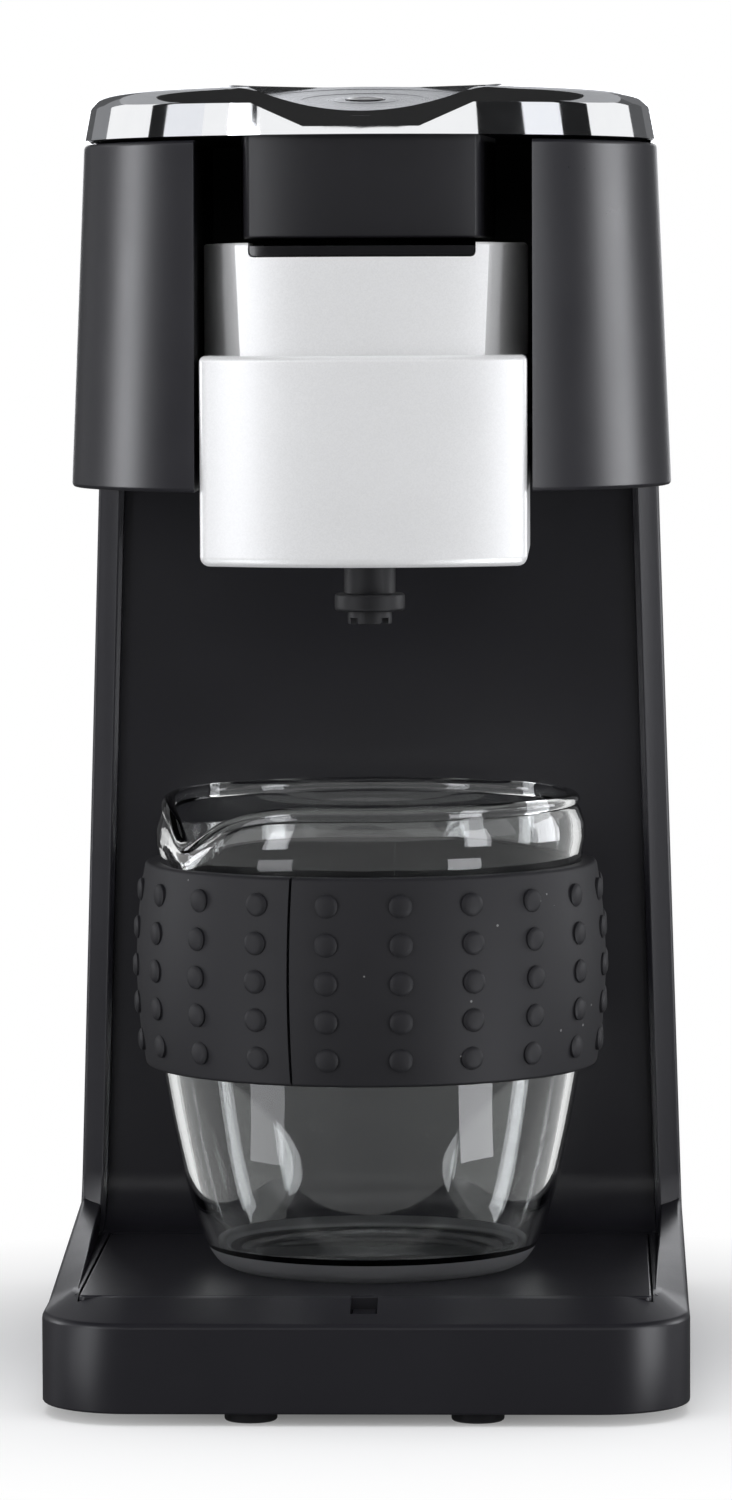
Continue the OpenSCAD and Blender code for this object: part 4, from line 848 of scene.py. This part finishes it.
# Drawer
def drawer_tub():
    """Hollow drawer with a bowed front, a bowl, the nozzle's hole and a rail groove at each side."""
    def mass(inset, low, high):
        reach = math.degrees(math.asin((DRAWER_HALF - inset) / (DRAWER_R - inset)))
        plate = arc_plate(DRAWER_R - inset, reach, DRAWER_BACK - inset, DRAWER_BACK_R - inset, low, 40)
        return raise_face(plate, (0, 0, high - low))

    tub = mass(0, DRAWER_Z, DRAWER_TOP)
    round_edges(tub, DRAWER_SIDE_EDGE,
                lambda a, b: upright(a, b) and abs(a.x) > DRAWER_HALF - NEAR and a.y < GROOVE_FRONT)
    round_edges(tub, DRAWER_LOW_EDGE, level(DRAWER_Z), 5)
    round_edges(tub, DRAWER_TOP_EDGE, level(DRAWER_TOP), 4)
    tub = combine(tub, mass(WALL, DRAWER_Z + WALL, DRAWER_TOP - WALL))
    for radius, low in ((BOWL_R, DRAWER_Z + WALL), (NOZZLE_HOLE_R, DRAWER_Z - OVER)):
        tub = combine(tub, pin(radius, low, low + BOWL_CUT, 96))
    for side in (-1, 1):
        ends = sorted((side * (DRAWER_HALF - GROOVE_DEPTH), side * (DRAWER_HALF + OVER)))
        tub = combine(tub, box((ends[0], GROOVE_FRONT, GROOVE_Z), (ends[1], BAY_BACK + OVER, GROOVE_TOP)))
    return tub


def bowed_plate(bow_r, half, back_r, z, side_y=BREW_Y):
    """Flat outline: front bowed about the head's axis, sides slanted as far as side_y, and a round back."""
    bm = bmesh.new()
    reach = math.asin(half / bow_r)
    start = bm.verts.new((-half, HEAD_AXIS - bow_r * math.cos(reach), z))
    end = spun(bm, [start], HEAD_AXIS, 2 * reach, 40)[0]
    corner = bm.verts.new((back_r, BREW_Y, z))
    for near, far in ((end, corner), (start, spun(bm, [corner], BREW_Y, math.pi, 48)[0])):
        bend = far
        if side_y < BREW_Y:
            bend = bm.verts.new((far.co.x, side_y, z))
            bm.edges.new((bend, far))
        bm.edges.new((near, bend))
    bmesh.ops.contextual_create(bm, geom=list(bm.edges))
    return bm


def collar_plate(half, inset, z):
    """Flat outline of the collar."""
    return bowed_plate(COLLAR_BOW_R - inset, half - inset, COLLAR_R - inset, z, COLLAR_SIDE_Y)


def capsule_collar():
    """Hollow collar that widens a little upwards, with a bowl, a notch in front and a gap at the back."""
    shell = loft([collar_plate(COLLAR_HALF - COLLAR_TAPER, 0, DRAWER_TOP),
                  collar_plate(COLLAR_HALF + COLLAR_TAPER, 0, COLLAR_TOP)])
    round_edges(shell, COLLAR_EDGE, level(COLLAR_TOP))
    low, high = DRAWER_TOP - OVER, COLLAR_TOP + OVER
    hollow = raise_face(collar_plate(COLLAR_HALF, WALL, low), (0, 0, NOTCH_Z - WALL - low))
    hollow = cut(hollow, pin(COLLAR_R, low - OVER, COLLAR_TOP))
    notch = box((-NOTCH_HALF, AHEAD, NOTCH_Z), (NOTCH_HALF, BREW_Y, high))
    round_edges(notch, NOTCH_R, lambda a, b: level(NOTCH_Z)(a, b) and same_x(a, b))
    gap = box((-NOTCH_HALF, COLLAR_GAP_Y, low), (NOTCH_HALF, 0, high))
    return cut(shell, hollow, pin(BOWL_R - WALL, low, high), pin(BOWL_R, BOWL_LEDGE, high), notch, gap)


def capsule_cup():
    """Capsule cup with a lip at its front, and a finger tab that fills the collar's notch."""
    cup = turned(HOLDER_CUP)
    lip = turned(HOLDER_LIP, steps=40, angle=2 * LIP_REACH, start=-90 - LIP_REACH)
    low, tab_low, tab_half = NOTCH_Z - OVER, NOTCH_Z + SLIDE, NOTCH_HALF - SLIDE
    tab = raise_face(collar_plate(COLLAR_HALF, SLIDE, low), (0, 0, COLLAR_TOP - TAB_DROP - low))
    opening = box((-tab_half, AHEAD, tab_low), (tab_half, TAB_BACK, COLLAR_TOP))
    round_edges(opening, TAB_R, lambda a, b: level(tab_low)(a, b) and same_x(a, b))
    tab = combine(combine(tab, opening, "INTERSECT"), pin(TAB_IN_R, low, COLLAR_TOP + OVER))
    round_edges(tab, TAB_EDGE, lambda a, b: max(a.y, b.y) < -75 and abs(a.z - b.z) < NEAR)
    return combine(combine(cup, lip, "UNION"), tab, "UNION")


def outlet_nozzle():
    """Nozzle with a flange, and two slots across its end."""
    shape = turned(NOZZLE, steps=72)
    for turn in (45, 135):
        place = shift(0, BREW_Y, 0) @ rotation(turn, "Z")
        shape = combine(shape, placed(box(*NOZZLE_SLOT), place))
    return shape


# Tray and cup
def drip_tray():
    """Tray plate with its lift tongue."""
    plate = rounded_plate(TRAY_HALF, TRAY_FRONT, TRAY_BACK, TRAY_R, TRAY_R, TRAY_FLOOR, 4)
    raise_face(plate, (0, 0, REST_Z - TRAY_FLOOR))
    round_edges(plate, TRAY_EDGE, level(REST_Z))
    tongue = box((-TONGUE_HALF, TONGUE_FRONT, TONGUE_FLOOR), (TONGUE_HALF, TONGUE_BACK, TONGUE_TOP))
    round_edges(tongue, TONGUE_EDGE, level(TONGUE_TOP), 2)
    return combine(plate, tongue, "UNION")


def cup_outer(z):
    """Outer radius of the cup at a height above the tray."""
    if z < SLEEVE_Z:
        return CUP_FOOT_R + (CUP_WAIST_R - CUP_FOOT_R) * math.sqrt(max(0.0, z) / SLEEVE_Z)
    if z <= SLEEVE_Z + SLEEVE_H:
        return CUP_GRIP_R - (CUP_GRIP_R - CUP_WAIST_R) * (2 * (z - SLEEVE_Z) / SLEEVE_H - 1) ** 2
    u = (z - SLEEVE_Z - SLEEVE_H) / (CUP_H - SLEEVE_Z - SLEEVE_H)
    return CUP_WAIST_R - CUP_NECK_DRAW * u + CUP_NECK_SWELL * math.sin(math.pi * u)


def glass_cup():
    """Glass with a beaded rim, a dip and a swell at the pouring lip, and a ground foot."""
    bead, count = CUP_H - BEAD_H, 40
    heights = [GLASS_FOOT_EDGE + (bead - GLASS_FOOT_EDGE) * (i / count) ** 1.3 for i in range(count + 1)]
    neck = [cup_outer(z) - SLEEVE_FIT - BEAD_NECK * smooth_step(z, CUP_H - BEAD_NECK_H, bead)
            for z in heights]
    outer = [(r, REST_Z + z, 0) for r, z in zip(neck, heights)]
    inner = [(r - GLASS_T, REST_Z + z, 0) for r, z in zip(neck, heights) if z > CUP_FLOOR_TOP]
    bead_r, bead_z = cup_outer(CUP_H) - SLEEVE_FIT - BEAD_R, REST_Z + CUP_H - BEAD_R
    rim = []
    for degrees in range(-45, 226, 30):
        turn = math.radians(degrees)
        rim.append((bead_r + BEAD_R * math.cos(turn), bead_z + BEAD_R * math.sin(turn), 0))
    cup = turned([*CUP_FOOT, *outer, *rim, *inner[::-1], *CUP_FLOOR], (0, 0, 0), 144)
    for vert in cup.verts:
        turn = math.atan2(vert.co.y, vert.co.x) - math.radians(-90 + SPOUT_TURN)
        turn = (turn + math.pi) % (2 * math.pi) - math.pi
        wide, narrow = (math.exp(-(turn / spread) ** 2) for spread in (SPOUT_WIDE, SPOUT_NARROW))
        high = smooth_step(vert.co.z, REST_Z + SPOUT_LOW, REST_Z + CUP_H)
        vert.co.z -= SPOUT_DIP * (0.6 * wide + 0.4 * narrow) * high
        swell = 1 + SPOUT_SWELL * narrow * high
        vert.co.x *= swell
        vert.co.y *= swell
    for face in cup.faces:
        centre = face.calc_center_median()
        if centre.z < REST_Z + GROUND_H and math.hypot(centre.x, centre.y) > GROUND_R:
            face.material_index = 1
    return placed(cup, shift(0, BREW_Y, 0))


def cup_sleeve():
    """Sleeve with a slit at the front left and rows of round studs."""
    heights = [SLEEVE_Z + SLEEVE_H * i / 14 for i in range(15)]

    def skin(out, rounding):
        ends = (heights[0], heights[-1])
        return [(cup_outer(z) + SLEEVE_FIT + out, REST_Z + z, rounding if z in ends else 0) for z in heights]

    profile = skin(SLEEVE_T, 0.7) + skin(0.0, 0.3)[::-1]
    sleeve = turned(profile, (0, 0, 0), 140, 360 - SLIT_WIDE, -90 + SLIT_TURN + SLIT_WIDE / 2)
    first = SLEEVE_Z + SLEEVE_H / 2 - (STUD_ROWS - 1) / 2 * STUD_PITCH
    for row in range(STUD_ROWS):
        z = first + STUD_PITCH * row
        out = shift(cup_outer(z) + SLEEVE_FIT + SLEEVE_T, 0, REST_Z + z) @ rotation(90, "Y")
        for number in range(STUD_COLUMNS):
            turn = -90 + STUD_TURN + 360 / STUD_COLUMNS * number
            join(sleeve, placed(turned(STUD, (0, 0, 0), 20), rotation(turn, "Z") @ out))
    return placed(sleeve, shift(0, BREW_Y, 0))


def rubber_feet():
    """Four round pads."""
    feet = bmesh.new()
    for x, y in FOOT_PLACES:
        join(feet, turned(FOOT_PAD, (x, y, 0), 40))
    return feet


def cord_gland():
    """Sleeve for the cord, with a groove that holds it in the rear cover."""
    return placed(turned(GLAND_SLEEVE, (0, 0, 0), 48), GLAND_PLACE)


piece(front_housing(), "base_and_column", "machine", HOUSING, "housing", "front_housing")
piece(rear_cover(), "rear_shell", "machine", HOUSING, "housing", "rear_cover")
piece(head_shell(), "head_cheeks", "machine", HOUSING, "housing", "head_shell")
piece(rubber_feet(), "foot_pads", "machine", RUBBER, "soft_rubber", "rubber_feet")
piece(cord_gland(), "cord_sleeve", "machine", RUBBER, "soft_rubber", "cord_gland")
cover = piece(lid_cover(), "chrome_lid", "lid", CHROME, "lid_chrome", "lid_cover", sharp=22)
cover.data.materials.append(TURNED)
piece(lid_dish(), "turned_dish", "lid", TURNED, "satin_metal", "lid_dish")
piece(lid_drum(), "press_drum", "lid", SATIN, "gloss_black", "lid_drum")
piece(brew_button(), "push_button", "button", GLOSS, "gloss_black", "brew_button")
piece(drawer_tub(), "drawer_body", "drawer", SILVER, "silver_paint", "drawer_tub")
piece(capsule_collar(), "silver_collar", "drawer", SILVER, "silver_paint", "capsule_collar")
piece(capsule_cup(), "capsule_holder", "drawer", GLOSS, "gloss_black", "capsule_cup")
piece(outlet_nozzle(), "coffee_nozzle", "drawer", INNER, "inner_plastic", "outlet_nozzle")
piece(drip_tray(), "tray_plate", "tray", HOUSING, "housing", "drip_tray")
bowl = piece(glass_cup(), "glass_bowl", "cup", GLASS, "glass", "glass_cup")
bowl.data.materials.append(GROUND)
piece(cup_sleeve(), "studded_sleeve", "cup", RUBBER, "soft_rubber", "cup_sleeve")

# Finishes of the nodes that show as the CAD has them
KEPT = {
    INNER: "tank_shelf bottom_plate head_floor brew_chamber top_deck thermostat water_pump dock_port "
           "lid_switch lid_inner_plate lid_elbow button_switch brew_funnel",
    RUBBER: "lid_bumpers dock_seal needle_gasket",
    STEEL: "base_screws deck_screws hinge_pins thermal_fuse inlet_needle exit_needle",
    ALUMINIUM: "flow_heater",
    TANK: "water_tank",
    HOSE: "inlet_hose pump_hose riser_hose",
    BOARD: "control_board",
    TERMINAL: "terminal_block",
}
for finish, names in KEPT.items():
    for name in names.split():
        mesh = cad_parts[name].data
        mesh.materials.clear()
        mesh.materials.append(finish)


# Studio: bearings are in degrees from the camera's side, and lengths in metres
TENT_R, FLOOR_HALF, CARD_STEPS, CARD_TINT = 2.6, 6.0, 12, (0.96, 0.97, 1.0)
SHADOW_R, WHITE_R = 0.07, 0.19
DIFFUSE_LIGHT, LAMP_TINT, AIM = 0.60, (0.95, 0.96, 1.0), Vector((0, 0, 0.14))
scene.view_settings.view_transform = "Standard"


def plain(name, colour, glow):
    """Matt material that glows in its own colour."""
    return Finish(name, Base_Color=(*colour, 1), Roughness=0.9, Specular_IOR_Level=0.0,
                  Emission_Color=(*colour, 1), Emission_Strength=glow).material


def stage_object(bm, name, material):
    """Makes a mesh object of a shape in the scene, apart from the machine."""
    obj = mesh_object(bm, name, material)
    return obj


def reflection_only(obj):
    """Lets an object show in reflections and nowhere else."""
    obj.visible_camera = obj.visible_diffuse = obj.visible_shadow = False
    obj.visible_transmission = obj.visible_volume_scatter = False


def card(name, low_turn, high_turn, tone, start, end):
    """Reflection card swept between two bearings, from one radius and height to another."""
    bm = bmesh.new()
    edge = bm.edges.new([bm.verts.new((0, -radius, z)) for radius, z in (start, end)])
    placed(bm, rotation(low_turn, "Z"))
    spun(bm, [edge], 0, math.radians(high_turn - low_turn), CARD_STEPS)
    glow = max(1.0, tone)
    colour = [c * tone / glow for c in CARD_TINT]
    reflection_only(stage_object(bm, name, plain(name, colour, glow)))


def disc(name, z, tone):
    """Level reflection card."""
    bm = bmesh.new()
    bmesh.ops.create_circle(bm, cap_ends=True, segments=48, radius=TENT_R)
    placed(bm, shift(0, 0, z))
    reflection_only(stage_object(bm, name, plain(name, (tone, tone, tone), 1.0)))


def floor_finish():
    """Pale floor that keeps the shadow near the machine and is plain white to the eye farther out."""
    f = Finish("pale_floor", Base_Color=(0.9, 0.9, 0.9, 1), Roughness=0.9, Specular_IOR_Level=0.0)
    away = f.node("ShaderNodeVectorMath", {"operation": "LENGTH"}, {0: f.place}, "Value")
    white = f.ramp(away, SHADOW_R, WHITE_R) * f.seen()
    shaded, glow = Value(f, f.shader.outputs[0]), f.node("ShaderNodeEmission")
    blend = f.node("ShaderNodeMixShader", None, {0: white, 1: shaded, 2: glow})
    f.tree.links.new(blend.socket, f.first("OUTPUT_MATERIAL").inputs["Surface"])
    return f.material


floor = bmesh.new()
bmesh.ops.create_grid(floor, x_segments=1, y_segments=1, size=FLOOR_HALF)
stage_object(floor, "floor", floor_finish())

# Upright reflection cards: first and last bearing, lower and upper height, and tone
LOW, MID, BACK_LOW, BACK_TOP, BAND_TOP, HIGH = -0.4, 0.62, 0.72, 1.25, 1.50, 2.4
CARDS = (
    (-195, -180, LOW, BACK_LOW, 1.30), (-180, -165, LOW, BACK_LOW, 1.10), (-195, -165, BACK_TOP, HIGH, 0.30),
    (-195, -182, BACK_LOW, BACK_TOP, 1.0), (-182, -177, BACK_LOW, BACK_TOP, 0.28),
    (-177, -165, BACK_LOW, BACK_TOP, 0.8), (-165, -150, LOW, BAND_TOP, 0.06),
    (-150, -131, LOW, BAND_TOP, 0.15), (-131, -114, LOW, MID, 0.08),
    (-165, -99, BAND_TOP, HIGH, 0.24), (-99, -90, LOW, HIGH, 0.01),
    (-90, -70, MID, BAND_TOP, 0.55), (-47.5, -45, MID, BAND_TOP, 0.01), (-90, 86, LOW, MID, 0.02),
    (46, 67, MID, BAND_TOP, 0.01), (67, 86, MID, BAND_TOP, 0.60), (-90, 86, BAND_TOP, HIGH, 0.015),
    (86, 102, LOW, HIGH, 0.01), (121, 134, LOW, MID, 0.08), (134, 150, LOW, BAND_TOP, 0.06),
    (150, 165, LOW, BAND_TOP, 0.10), (102, 165, BAND_TOP, HIGH, 0.24))
for number, (low_turn, high_turn, low, high, tone) in enumerate(CARDS):
    card(f"card_{number}", low_turn, high_turn, tone, (TENT_R, low), (TENT_R, high))

# Bright stretches of the table that the corners of the base reflect, on a dark table
DARK_TABLE_Z, TABLE_Z, TABLE_NEAR, TABLE_FAR = 0.0004, 0.0006, 0.16, 0.5
for name, low_turn, high_turn, tone in (("table_left", -54, -36, 2.6), ("table_right", 39, 57, 5.4)):
    card(name, low_turn, high_turn, tone, (TABLE_NEAR, TABLE_Z), (TABLE_FAR, TABLE_Z))
disc("ceiling_card", HIGH, 0.015)
disc("table_card", DARK_TABLE_Z, 0.04)

# White surroundings, dimmer where they light the machine
world = bpy.data.worlds.new("studio")
scene.world = world
world.use_nodes = True
sky = Nodes(world.node_tree)
background = sky.first("BACKGROUND")
background.inputs["Color"].default_value = (1, 1, 1, 1)
strength = sky.ramp(sky.seen(), 0.0, 1.0, DIFFUSE_LIGHT, 1.0)
sky.tree.links.new(strength.socket, background.inputs["Strength"])


def softbox(name, bearing, distance, height, size, power, mirrored=True):
    """Area lamp at a bearing, aimed at the machine."""
    lamp = bpy.data.lights.new(name, "AREA")
    lamp.shape, lamp.size, lamp.size_y, lamp.energy = "RECTANGLE", size[0], size[1], power
    lamp.color = LAMP_TINT
    turn = math.radians(bearing)
    at = Vector((distance * math.sin(turn), -distance * math.cos(turn), height))
    obj = bpy.data.objects.new(name, lamp)
    obj.location = at
    obj.rotation_euler = (AIM - at).to_track_quat("-Z", "Y").to_euler()
    obj.visible_camera, obj.visible_glossy = False, mirrored
    scene.collection.objects.link(obj)


softbox("left_strip", -104, 1.3, 0.17, (0.32, 0.65), power=3.8)
softbox("right_strip", 110, 1.3, 0.17, (0.48, 0.65), power=4.5)
softbox("front_left", -50, 1.6, 0.42, (0.38, 0.84), power=5.2)
softbox("front_right", 60, 1.6, 0.34, (0.40, 0.76), power=5.6)
softbox("top_fill", 0, 0.4, 1.5, (1.0, 1.0), power=8, mirrored=False)
